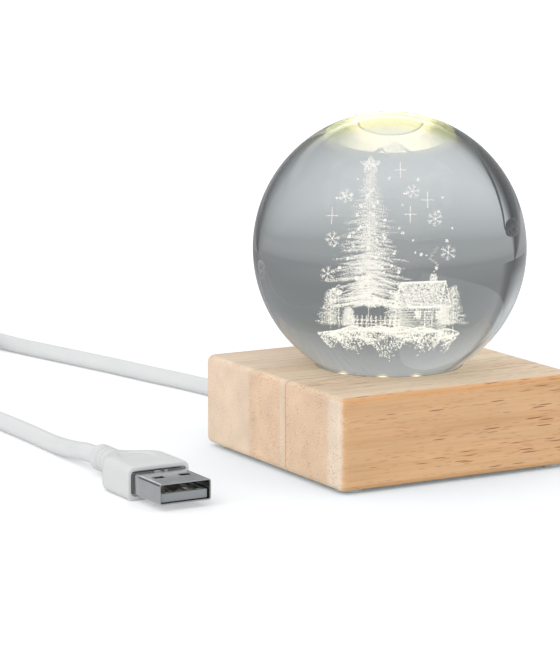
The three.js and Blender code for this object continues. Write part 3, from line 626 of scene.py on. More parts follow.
@dataclass(frozen=True)
class WovenStrap(Finish):
    """A woven polyester strap: a plain weave of 0.5 mm threads, drawn that coarse to show."""

    slot: str = "tie_strap"
    thread: str = "#eff0ee"
    # Painted shade in the gaps between the threads
    gap: str = "#c9ccca"
    pitch: float = 0.5

    def surface(self, graph: Graph) -> Socket:
        """A checker of threads with a soft relief."""
        # Painted shade: the gaps between the threads are darker
        gap = graph.span(graph.spots((self.pitch,) * 3, loose=0.15), 0.3, 0.55)
        weave = graph.blend(gap, self.thread, self.gap)
        return graph.principled(
            # Painted shade: darker to rays through the ball
            Base_Color=graph.blend(graph.ray(TRANSMITTED), weave, DIM_BEHIND_GLASS),
            Roughness=0.8,
            Sheen_Weight=0.2,
            Normal=graph.bump(graph.calc("SUBTRACT", 1.0, gap), 0.5, 0.1),
        )


CORD_PVC = MouldedPlastic("cord_pvc", "#f1f1f1", "#e9eaea", 0.4, 0.25, 0.1, 1.54)
BOOT_PVC = MouldedPlastic("boot_pvc", "#ebeceb", "#e4e5e4", 0.44, 0.16, 0.18, 1.54)
COVER_ABS = MouldedPlastic("cover_plastic", "#2b2b2c", "#232324", 0.56, 0.14, 0.4, 1.53)
FOOT_RUBBER = MouldedPlastic("foot_silicone", "#dfe2e1", "#cfd3d2", 0.5, 0.2, 0.2, 1.41)
TIE_NYLON = MouldedPlastic("nylon", "#e2e2de", "#d5d6d2", 0.48, 0.2, 0.15, 1.53)
TONGUE_PBT = MouldedPlastic("plug_plastic", "#a5a9ab", "#989c9e", 0.4, 0.14, 0.15, 1.55)
RESISTOR_CERAMIC = MouldedPlastic("resistor_body", "#2a2c2e", "#202123", 0.46, 0.1, 0.2, 1.7)
RED_INSULATION = MouldedPlastic("wire_red", "#b8281f", "#a3221a", 0.4, 0.2, 0.1, 1.54)
BLACK_INSULATION = MouldedPlastic("wire_black", "#1f2022", "#17181a", 0.4, 0.2, 0.1, 1.54)
NICKEL = PlatedMetal("plug_steel", "#dcdee0", "#cbcecf", 0.2)
ZINC = PlatedMetal("steel_screw", "#b4b7b9", "#989c9e", 0.3)
GOLD = PlatedMetal("plug_gold", "#f6efde", "#e8dcbc", 0.2)


class Bench:
    """The modelling moves that the sub-assemblies share. Sizes come in as millimetres."""

    @staticmethod
    def clear() -> None:
        """Leave edit mode and select nothing."""
        active = bpy.context.view_layer.objects.active
        if active is not None and active.mode != "OBJECT":
            bpy.ops.object.mode_set(mode="OBJECT")
        bpy.ops.object.select_all(action="DESELECT")

    @classmethod
    def activate(cls, obj: bpy.types.Object) -> None:
        """Select one object and nothing else."""
        cls.clear()
        obj.select_set(True)
        bpy.context.view_layer.objects.active = obj

    @classmethod
    def open_up(cls, obj: bpy.types.Object, action: str = "SELECT") -> None:
        """Go into an object's edit mode with everything selected, or nothing."""
        cls.activate(obj)
        bpy.ops.object.mode_set(mode="EDIT")
        bpy.ops.mesh.select_all(action=action)

    @classmethod
    def settle(cls, obj: bpy.types.Object) -> bpy.types.Object:
        """Move an object's place and size into its mesh."""
        cls.activate(obj)
        bpy.ops.object.transform_apply(location=True, rotation=True, scale=True)
        return obj

    @classmethod
    def block(cls, low: Place, high: Place) -> bpy.types.Object:
        """Add a rectangular block between its lowest and its highest corner."""
        cls.clear()
        middle = [(a + b) / 2 * MM for a, b in zip(low, high)]
        size = [(b - a) * MM for a, b in zip(low, high)]
        bpy.ops.mesh.primitive_cube_add(size=1, location=middle, scale=size)
        return cls.settle(bpy.context.object)

    @classmethod
    def drum(
        cls, radius: float, low: float, high: float, sides: int = 64, centre: Place = (0, 0)
    ) -> bpy.types.Object:
        """Add an upright round bar.

        Args:
            radius: Its radius.
            low: Height of its bottom.
            high: Height of its top.
            sides: Number of side faces.
            centre: X and Y of its axis.

        Returns:
            The bar, at the origin.
        """
        cls.clear()
        place = (centre[0] * MM, centre[1] * MM, (low + high) / 2 * MM)
        bpy.ops.mesh.primitive_cylinder_add(
            vertices=sides, radius=radius * MM, depth=(high - low) * MM, location=place
        )
        return cls.settle(bpy.context.object)

    @classmethod
    def laid_down(cls, obj: bpy.types.Object, place: Place) -> bpy.types.Object:
        """Lay an upright shape down so that it points along Y from a place."""
        obj.rotation_euler = (-math.pi / 2, 0, 0)
        obj.location = [value * MM for value in place]
        return cls.settle(obj)

    @classmethod
    def pick(cls, obj: bpy.types.Object, kind: Element, test: Callable[[Vector, Vector], bool]) -> None:
        """Go into edit mode with only the elements selected that pass a test.

        Args:
            obj: The object to work on.
            kind: Edges or faces.
            test: Takes an element's middle in millimetres and its normal or direction.
        """
        cls.open_up(obj, "DESELECT")
        bpy.ops.mesh.select_mode(type=kind.value)
        mesh = bmesh.from_edit_mesh(obj.data)
        if kind is Element.FACES:
            chosen = [face for face in mesh.faces if test(face.calc_center_median() / MM, face.normal)]
        else:
            chosen = []
            for edge in mesh.edges:
                a, b = (point.co for point in edge.verts)
                if test((a + b) / (2 * MM), (b - a).normalized()):
                    chosen.append(edge)
        for element in chosen:
            element.select_set(True)
        mesh.select_flush_mode()
        bmesh.update_edit_mesh(obj.data)

    @classmethod
    def round_edges(
        cls, obj: bpy.types.Object, width: float, segments: int, test: Callable[[Vector, Vector], bool]
    ) -> None:
        """Round the edges that pass a test."""
        cls.pick(obj, Element.EDGES, test)
        bpy.ops.mesh.bevel(offset=width * MM, segments=segments, affect="EDGES", clamp_overlap=True)
        cls.clear()

    @classmethod
    def ring_cuts(cls, obj: bpy.types.Object, places: Iterable[float]) -> None:
        """Cut rings into a shape across Y at the given places."""
        for place in places:
            cls.open_up(obj)
            bpy.ops.mesh.bisect(plane_co=(0, place * MM, 0), plane_no=(0, 1, 0))
        cls.clear()

    @classmethod
    def open_ends(cls, obj: bpy.types.Object) -> None:
        """Take off the faces that look along Y."""
        cls.pick(obj, Element.FACES, lambda middle, normal: abs(normal.y) > 0.9)
        bpy.ops.mesh.delete(type="ONLY_FACE")
        cls.clear()

    @classmethod
    def modify(cls, obj: bpy.types.Object, kind: str, **settings: object) -> None:
        """Add a modifier with its properties and apply it."""
        modifier = obj.modifiers.new(WORK_NAME, kind)
        for key, value in settings.items():
            setattr(modifier, key, value)
        cls.activate(obj)
        bpy.ops.object.modifier_apply(modifier=modifier.name)

    @classmethod
    def cut(cls, obj: bpy.types.Object, *cutters: bpy.types.Object) -> None:
        """Take cutters out of an object, and throw them away."""
        for cutter in cutters:
            cls.modify(obj, "BOOLEAN", operation="DIFFERENCE", solver="EXACT", object=cutter)
            bpy.data.objects.remove(cutter, do_unlink=True)

    @classmethod
    def join(cls, obj: bpy.types.Object, *others: bpy.types.Object) -> None:
        """Make several shapes one object."""
        cls.activate(obj)
        for other in others:
            other.select_set(True)
        bpy.ops.object.join()

    @classmethod
    def turned(cls, profile: Sequence[Place], steps: int = 64) -> bpy.types.Object:
        """Spin an outline round the upright axis.

        Args:
            profile: Radius and height of each point, in order. It closes on itself or at the axis.
            steps: Number of steps in a full turn.

        Returns:
            The closed turned shape.
        """
        cls.clear()
        bpy.ops.mesh.primitive_plane_add(size=1)
        obj = bpy.context.object
        points = [(radius * MM, 0, height * MM) for radius, height in profile]
        obj.data.clear_geometry()
        obj.data.from_pydata(points, [(i, i + 1) for i in range(len(points) - 1)], [])
        cls.open_up(obj)
        bpy.ops.mesh.spin(steps=steps, angle=FULL_TURN, center=(0, 0, 0), axis=(0, 0, 1))
        bpy.ops.mesh.select_all(action="SELECT")
        bpy.ops.mesh.remove_doubles(threshold=0.001 * MM)
        bpy.ops.mesh.normals_make_consistent(inside=False)
        return cls.settle(obj)

    @classmethod
    def from_arrays(cls, points: np.ndarray, faces: Iterable[Sequence[int]]) -> bpy.types.Object:
        """Make an object from points in millimetres and the faces on them."""
        mesh = bpy.data.meshes.new(WORK_NAME)
        mesh.from_pydata((points * MM).tolist(), [], [tuple(face) for face in faces])
        mesh.update()
        obj = bpy.data.objects.new(WORK_NAME, mesh)
        bpy.context.scene.collection.objects.link(obj)
        return obj

    @classmethod
    def soften(cls, obj: bpy.types.Object, width: float, segments: int, **limit: object) -> None:
        """Bevel the edges of an object, with the modifier's own limit or another."""
        cls.modify(obj, "BEVEL", width=width * MM, segments=segments, **limit)

    @classmethod
    def deliver(
        cls,
        obj: bpy.types.Object,
        name: str,
        finish: Finish,
        body: Body = Body.BASE,
        nodes: Sequence[str] = (),
        smooth: float = 32,
    ) -> bpy.types.Object:
        """Name and dress a finished piece and hand it to the frame.

        Args:
            obj: The modelled piece.
            name: Its name.
            finish: What it is made of.
            body: The CAD body that it rides on.
            nodes: The CAD nodes that it stands for.
            smooth: Faces that meet at less than this many degrees are shaded as one.

        Returns:
            The piece.
        """
        cls.settle(obj)
        obj.name = name
        obj.data.name = name
        obj.data.materials.clear()
        obj.data.materials.append(finish.material())
        bpy.ops.object.shade_smooth_by_angle(angle=math.radians(smooth))
        if len(obj.data.polygons) < 60000:
            cls.modify(obj, "WEIGHTED_NORMAL", keep_sharp=True, weight=60)
        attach(obj, body.value)
        if nodes:
            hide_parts(*nodes)
        LOG.info("%s: %d faces on %s", name, len(obj.data.polygons), body.value)
        return obj

    @classmethod
    def spread(
        cls,
        obj: bpy.types.Object,
        places: Sequence[Place],
        name: str,
        node: str,
        finish: Finish,
        twist: float = 0,
    ) -> list[bpy.types.Object]:
        """Deliver numbered copies of a shape, and throw the shape away.

        Args:
            obj: The shape on the upright axis.
            places: X and Y of each copy.
            name: The copies' name, without the number.
            node: Name of the CAD nodes that they stand for, without the number.
            finish: What they are made of.
            twist: Radians that each copy is turned beyond the one before it.

        Returns:
            The copies.
        """
        copies = []
        for number, (x, y) in enumerate(places, 1):
            twin = obj.copy()
            twin.data = obj.data.copy()
            bpy.context.scene.collection.objects.link(twin)
            spin = Matrix.Rotation(number * twist, 4, "Z")
            twin.data.transform(Matrix.Translation((x * MM, y * MM, 0)) @ spin)
            copies.append(cls.deliver(twin, f"{name}_{number}", finish, nodes=(f"{node}_{number}",)))
        bpy.data.objects.remove(obj, do_unlink=True)
        return copies


def corners(reach: float) -> list[Place]:
    """Give the corners of a square about the axis, anticlockwise from the front left."""
    return [(x * reach, y * reach) for x, y in ((-1, -1), (1, -1), (1, 1), (-1, 1))]


def places_round(radius: float, count: int) -> list[Place]:
    """Give evenly spread places round the axis, the first half a step from X."""
    turns = [(number + 0.5) / count * FULL_TURN for number in range(count)]
    return [(radius * math.cos(turn), radius * math.sin(turn)) for turn in turns]


def level_turn(degrees: float) -> np.ndarray:
    """Give the matrix that turns rows of points about the upright axis."""
    cosine, sine = math.cos(math.radians(degrees)), math.sin(math.radians(degrees))
    return np.array([[cosine, sine, 0], [-sine, cosine, 0], [0, 0, 1]])


def upright(middle: Vector, way: Vector) -> bool:
    """Pick edges that stand upright."""
    return abs(way.z) > 0.9


def lengthwise(middle: Vector, way: Vector) -> bool:
    """Pick edges that run along Y."""
    return abs(way.y) > 0.9


def dress_node(name: str, finish: Finish) -> None:
    """Give a CAD node that stays in view its finish."""
    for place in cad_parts[name].material_slots:
        place.material = finish.material()
    LOG.info("%s: CAD node in %s", name, finish.slot)


@dataclass
class Studio:
    """The camera at the photograph's angle, plain soft light and a pale floor.

    Glass sees a graded studio: each row of a curve is a place and a level. Directions are in
    degrees round the upright axis, heights are sines and distances are millimetres.
    """

    position: Place = (-359.64, -583.01, 149.11)
    rise: float = 10.12
    lens: float = 169.1
    sensor: float = 36
    clip: tuple[float, float] = (0.01, 20)
    floor_size: float = 6000
    fill: float = 0.76
    key_power: float = 6.7
    key_place: Place = (-920, -400, 1000)
    key_size: float = 1400
    key_tone: tuple[float, float, float] = (1.0, 0.985, 0.965)
    key_aim: float = 30
    white: str = "#fdfeff"
    paper: str = "#f2f3f4"
    height_levels: tuple[Place, ...] = (
        (0, 0.27), (0.087, 0.235), (0.2, 0.24), (0.342, 0.25), (0.42, 0.305), (0.545, 0.4), (0.77, 0.52),
        (1, 0.54)
    )
    distance_levels: tuple[Place, ...] = (
        (0, 0.72), (80, 0.72), (111, 0.68), (175, 0.53), (264, 0.39), (900, 0.27)
    )
    wing_levels: tuple[Place, ...] = (
        (-180, 0), (-170, 1), (-75, 1), (-60, 0.45), (-14, 0.45), (-2, 0.95), (60, 1), (102, 0.95),
        (106, 0.5), (110, 0.3), (114, 0), (180, 0)
    )
    panel_levels: tuple[Place, ...] = (
        (-180, 1), (-172, 0), (110, 0), (113, 0.35), (119, 0.65), (126, 0.9), (180, 1)
    )
    panel_rise: tuple[Place, ...] = ((0, 0.1), (0.05, 0.15), (0.12, 0.4), (0.2, 0.55), (0.36, 1), (1, 1))
    gloss_levels: tuple[Place, ...] = (
        (0, 0.5), (0.03, 0.36), (0.2, 0.28), (0.32, 0.34), (0.5, 0.45), (0.75, 0.5), (1, 0.9)
    )
    strip_rise: tuple[Place, ...] = ((0, 0), (0.36, 0), (0.42, 1.2), (0.5, 1.2), (0.56, 0), (1, 0))
    strip_turn: tuple[Place, ...] = ((-180, 0), (35, 0), (50, 1), (110, 1), (120, 0), (180, 0))
    back_line: Place = (-0.5, 0.866, 0)
    floor_gloss: tuple[Place, ...] = ((-900, 0.55), (120, 0.55), (230, 0.3), (900, 0.3))
    gloss_turn: tuple[Place, ...] = ((-180, 1), (78, 1), (98, 0.35), (150, 0.35), (170, 1), (180, 1))
    # Glow that the camera sees on the floor, by distance: weak close to the base, where it leaves a painted
    # shade round it
    floor_lift: tuple[Place, ...] = (
        (0, 0.08), (36, 0.11), (48, 0.2), (70, 0.26), (150, 0.28), (600, 0.6), (1500, 1)
    )
    left_line: Place = (1.0, 0.44, 34.8)
    left_edge: tuple[Place, ...] = (
        (-150, 1), (-75, 0.85), (-40, 0.1), (-12, 0.05), (-5, 0.25), (0, 0.45), (5, 0.75), (12, 0.95),
        (25, 1), (60, 1)
    )
    right_line: Place = (0.145, 1.0, 26.8)
    right_edge: tuple[Place, ...] = (
        (-150, 1), (-75, 0.85), (-40, 0.1), (-5, 0.08), (0, 0.2), (8, 0.42), (20, 0.68), (45, 0.87), (80, 1)
    )
    behind: tuple[Place, ...] = ((0, 1), (54, 1), (62, 0), (900, 0))
    # Painted light: the yellowish glow that glass sees on the floor close round the lamp
    warm: str = "#fbf9c4"

    def camera(self) -> None:
        """Stand the camera where the photograph was taken from."""
        yaw, rise = math.radians(VIEW_YAW), math.radians(self.rise)
        back = Vector((math.sin(yaw) * math.cos(rise), -math.cos(yaw) * math.cos(rise), math.sin(rise)))
        right = Vector((math.cos(yaw), math.sin(yaw), 0))
        turn = Matrix((right, back.cross(right), back)).transposed().to_4x4()
        data = bpy.data.cameras.new("camera")
        data.lens = self.lens
        data.sensor_width = self.sensor
        data.clip_start, data.clip_end = self.clip
        camera = bpy.data.objects.new("camera", data)
        camera.matrix_world = Matrix.Translation([value * MM for value in self.position]) @ turn
        bpy.context.scene.collection.objects.link(camera)
        bpy.context.scene.camera = camera
        bpy.context.scene.view_settings.view_transform = "Standard"

    def world(self) -> None:
        """Light softly from all round.

        Metal and glass see a studio of graded greys in place of the white that the camera sees.
        """
        world = bpy.data.worlds.new("studio")
        bpy.context.scene.world = world
        world.use_nodes = True
        world.node_tree.nodes.clear()
        graph = Graph(world.node_tree)
        x, y, z = graph.axes(add_node(graph.tree, "TexCoord").outputs["Generated"])
        turn = graph.turn(x, y)
        panel = graph.times(graph.levels(turn, self.panel_levels), graph.levels(z, self.panel_rise))
        wings = graph.times(graph.levels(turn, self.wing_levels), graph.levels(z, self.height_levels))
        seen = graph.calc("ADD", wings, panel)
        strip = graph.times(graph.levels(turn, self.strip_turn), graph.levels(z, self.strip_rise))
        gloss = graph.calc("ADD", strip, graph.levels(z, self.gloss_levels))
        gloss = graph.times(gloss, graph.levels(turn, self.gloss_turn))
        level = graph.choose(graph.ray("Is Glossy Ray"), self.fill, gloss)
        level = graph.choose(graph.ray(TRANSMITTED), level, seen)
        level = graph.choose(graph.ray("Is Camera Ray"), level, 1.0)
        light = add_node(graph.tree, "Background", None, {"Color": self.white, "Strength": level})
        add_node(graph.tree, "OutputWorld", None, {"Surface": light.outputs[0]})

    def sweep(self, graph: Graph) -> Socket:
        """Paint the floor: matt white that keeps shadows, and a graded glow for glass and metal.

        Glass sees a painted dark band on it past each of two straight lines, and a painted yellowish glow
        of light close round the lamp.
        """
        place = graph.place()
        x, y, _ = graph.axes(place)
        away = add_node(graph.tree, "VectorMath", {"operation": "LENGTH"}, {0: place}).outputs["Value"]
        left = graph.levels(graph.past(x, y, self.left_line), self.left_edge)
        right = graph.levels(graph.past(x, y, self.right_line), self.right_edge)
        seen = graph.times(graph.levels(away, self.distance_levels), left, right)
        # Painted shade: the camera's glow on the floor is weaker close to the base, which darkens the floor
        # round it
        lift = graph.times(graph.levels(away, self.floor_lift), graph.ray("Is Camera Ray"))
        paint = graph.principled(
            Base_Color=self.paper,
            Roughness=1.0,
            Specular_IOR_Level=0.0,
            Emission_Color="#ffffff",
            Emission_Strength=lift,
        )
        # Painted light: glass sees the floor yellowish close round the lamp
        tone = graph.blend(graph.levels(away, self.behind), self.white, self.warm)
        gloss = graph.levels(graph.past(x, y, self.back_line), self.floor_gloss)
        level = graph.choose(graph.ray(TRANSMITTED), gloss, seen)
        glow = add_node(graph.tree, "Emission", None, {"Color": tone, "Strength": level}).outputs[0]
        indirect = graph.calc("MAXIMUM", graph.ray(TRANSMITTED), graph.ray("Is Glossy Ray"))
        return graph.either(indirect, paint, glow)

    def floor(self) -> None:
        """Lay the floor."""
        Bench.clear()
        bpy.ops.mesh.primitive_plane_add(size=self.floor_size * MM)
        floor = bpy.context.object
        floor.name = "studio_floor"
        Bench.open_up(floor)
        bpy.ops.mesh.subdivide(number_cuts=3)
        Bench.clear()
        floor.data.materials.append(new_material("matt_white_sweep", self.sweep))

    def key(self) -> None:
        """Hang one large softbox up on the left."""
        data = bpy.data.lights.new("softbox", "AREA")
        data.shape = "SQUARE"
        data.size = self.key_size * MM
        data.energy = self.key_power
        data.color = self.key_tone
        lamp = bpy.data.objects.new("softbox", data)
        place = Vector(self.key_place) * MM
        lamp.location = place
        lamp.rotation_mode = "QUATERNION"
        lamp.rotation_quaternion = (Vector((0, 0, self.key_aim * MM)) - place).to_track_quat("-Z", "Y")
        lamp.visible_glossy = False
        bpy.context.scene.collection.objects.link(lamp)

    def build(self) -> None:
        """Set the whole studio up."""
        self.camera()
        self.world()
        self.floor()
        self.key()


@dataclass
class Curve:
    """A centripetal Catmull-Rom curve through points, as the CAD source runs its tubes."""

    points: Sequence[Place]

    def stretch(self, index: int, shares: np.ndarray) -> np.ndarray:
        """Give points between one of the curve's points and the next.

        Args:
            index: Number of the point at the stretch's start.
            shares: How far along the stretch each wanted point is, from 0 to 1.

        Returns:
            One row for each share.
        """
        points = np.array(self.points, float)
        b, c = points[index], points[index + 1]
        a = points[index - 1] if index > 0 else 2 * b - c
        d = points[index + 2] if index + 2 < len(points) else 2 * c - b
        first, middle, last = (math.sqrt(np.linalg.norm(q - p)) for p, q in ((a, b), (b, c), (c, d)))
        leave = ((b - a) / first - (c - a) / (first + middle) + (c - b) / middle) * middle
        arrive = ((c - b) / middle - (d - b) / (middle + last) + (d - c) / last) * middle
        t = shares[:, None]
        square = -3 * b + 3 * c - 2 * leave - arrive
        cube = 2 * b - 2 * c + leave + arrive
        return b + leave * t + square * t**2 + cube * t**3

    def sampled(self, step: float) -> np.ndarray:
        """Give points along the whole curve, about one step apart."""
        rows = []
        for index in range(len(self.points) - 1):
            span = math.dist(self.points[index], self.points[index + 1])
            count = max(1, math.ceil(span / step))
            rows.append(self.stretch(index, np.arange(count) / count))
        return np.vstack([*rows, [self.points[-1]]])


def tube(points: np.ndarray, radius: float, sides: int) -> bpy.types.Object:
    """Make a round tube with closed ends along a line of points.

    Args:
        points: The centre line, in millimetres.
        radius: The tube's radius.
        sides: Number of faces round it.

    Returns:
        The tube.
    """
    ways = np.gradient(points, axis=0)
    ways /= np.linalg.norm(ways, axis=1)[:, None]
    across = np.cross(ways[0], (0.0, 0.0, 1.0))
    turns = np.arange(sides) / sides * FULL_TURN
    rows = []
    for point, way in zip(points, ways):
        across = across - way * across.dot(way)
        across /= np.linalg.norm(across)
        over = np.cross(way, across)
        rows.append(point + radius * (np.outer(np.cos(turns), across) + np.outer(np.sin(turns), over)))
    faces = []
    for row in range(len(rows) - 1):
        for side in range(sides):
            a = row * sides + side
            b = row * sides + (side + 1) % sides
            faces.append((a, b, b + sides, a + sides))
    last = (len(rows) - 1) * sides
    faces += [tuple(range(sides - 1, -1, -1)), tuple(range(last, last + sides))]
    return Bench.from_arrays(np.vstack(rows), faces)


@dataclass
class Lead:
    """The white USB lead: out of the back, round its coil of spare length and on to the plug."""

    diameter: float = 4
    start: float = 30.3
    boot_back: float = 14.7
    seat_gap: float = 0.3
    coil_centre: Place = (-52.6, 175.5)
    coil_radius: float = 29.4
    coil_start: float = 13
    coil_turns: float = 4.464
    coil_gap: float = 0.6
    strap_thickness: float = 0.8
    strap_width: float = 9
    strap_angle: float = 262
    sides: int = 20
    step: float = 2.4
    steps_per_turn: int = 72

    @property
    def pitch(self) -> float:
        """Distance between the middles of neighbouring turns."""
        return self.diameter + self.coil_gap

    def coil_place(self, turns: float) -> Place:
        """Give the coil's radius, height and angle after a number of turns."""
        middle = self.coil_turns / 2
        quarter = 0.25
        away = abs(turns - middle)
        rounded = away**2 / (2 * quarter) + quarter / 2 if away < quarter else away
        rise = min(1.0, max(0.0, (turns - middle + quarter) / (2 * quarter)))
        climb = rise * rise * (3 - 2 * rise)
        inner = self.coil_radius - self.pitch * middle
        low = self.strap_thickness + self.seat_gap + self.diameter / 2
        angle = math.radians(self.coil_start) + FULL_TURN * turns
        return inner + self.pitch * rounded, low + self.pitch * climb, angle

    def coil_point(self, turns: float) -> np.ndarray:
        """Give a point of the coil after a number of turns."""
        radius, height, angle = self.coil_place(turns)
        x, y = self.coil_centre
        return np.array([x + radius * math.cos(angle), y + radius * math.sin(angle), height])

    def coil_heading(self, turns: float) -> np.ndarray:
        """Give the direction in which the lead runs at one end of the coil."""
        radius, _, angle = self.coil_place(turns)
        drift = math.copysign(self.pitch / FULL_TURN, turns - self.coil_turns / 2)
        cosine, sine = math.cos(angle), math.sin(angle)
        way = np.array([drift * cosine - radius * sine, drift * sine + radius * cosine, 0.0])
        return way / np.linalg.norm(way)

    def coil_line(self) -> np.ndarray:
        """Give the points of the coil, with one diameter of straight lead at each end."""
        count = math.ceil(self.coil_turns * self.steps_per_turn)
        wound = [self.coil_point(turns) for turns in np.linspace(0, self.coil_turns, count + 1)]
        before = wound[0] - self.coil_heading(0) * self.diameter
        after = wound[-1] + self.coil_heading(self.coil_turns) * self.diameter
        return np.array([before, *wound, after])

    def route(self) -> np.ndarray:
        """Give the whole centre line, from the bush to the plug."""
        coil = self.coil_line()
        inward = self.coil_heading(0)
        outward = self.coil_heading(self.coil_turns)
        lead_end = coil[0] - inward * self.seat_gap
        tail_start = coil[-1] + outward * self.seat_gap
        lead = [(0, self.start, ENTRY_HEIGHT), (0, 38, ENTRY_HEIGHT)]
        lead += [(-0.1, 46, 6.7), (-0.3, 56, 4.4), (-0.8, 68, 2.4), (-2.2, 82, 2), (-4.1, 92, 2)]
        lead += [(-6.2, 101.3, 2), (-9.9, 119.3, 2), (-14.1, 137.4, 2), (-18.3, 156, 2), (-20.7, 167, 2.5)]
        lead += [tuple(lead_end - inward * self.diameter), tuple(lead_end)]
        tail = [tuple(tail_start), tuple(tail_start + outward * self.diameter)]
        tail += [(-81.9, 163, 7.2), (-80.9, 152, 5), (-78.4, 139, 2.9), (-74.4, 124, 2.1), (-69.6, 108, 2)]
        tail += [(-65.6, 93, 2), (-63.3, 79, 2), (-62.8, 66, 2), (-62.8, 52, 2), (-63.1, 39, 2)]
        tail += [(-63.5, 29, 2.7)]
        tail += [(PLUG_X, 22, PLUG_AXIS - 0.2)]
        tail += [(PLUG_X, self.boot_back + self.seat_gap, PLUG_AXIS)]
        return np.vstack([Curve(lead).sampled(self.step), coil, Curve(tail).sampled(self.step)])

    def strap(self) -> bpy.types.Object:
        """Wind the woven strap round the coil, with its end lapped over."""
        angle = math.radians(self.strap_angle)
        across = np.array([math.cos(angle), math.sin(angle)])
        along = np.array([-math.sin(angle), math.cos(angle)])
        half = self.strap_width / 2
        rows = self.coil_line()[:, :2] - np.array(self.coil_centre)
        held = [row.dot(across) for row in rows if abs(row.dot(along)) < half and row.dot(across) > 0]
        reach = self.diameter / 2 + 2 * self.seat_gap + self.strap_thickness
        inner, outer = min(held) - reach, max(held) + reach
        height = 2 * (self.diameter + self.seat_gap + self.strap_thickness) + self.coil_gap
        band = Bench.block((inner, -half, 0), (outer, half, height))
        Bench.round_edges(band, self.diameter / 2 + self.strap_thickness, 8, lengthwise)
        Bench.open_ends(band)
        Bench.modify(band, "SOLIDIFY", thickness=self.strap_thickness * MM, offset=-1)
        lap = Bench.block((inner + 2.2, -half, height - 0.05), (outer - 4.4, half, height + 0.55))
        Bench.soften(lap, 0.25, 3)
        Bench.join(band, lap)
        Bench.soften(band, 0.12, 2, limit_method="ANGLE", angle_limit=1.2)
        band.rotation_euler = (0, 0, angle)
        band.location = (self.coil_centre[0] * MM, self.coil_centre[1] * MM, 0)
        return Bench.settle(band)

    def build(self, on_it: Sequence[bpy.types.Object]) -> None:
        line = self.route()
        nodes = ("cord_lead", "cord_coil", "cord_tail")
        cable = tube(line, self.diameter / 2, self.sides)
        lead = Bench.deliver(cable, "usb_lead", CORD_PVC, nodes=nodes, smooth=60)
        strap = Bench.deliver(self.strap(), "coil_strap", WovenStrap(), nodes=("cord_tie",))


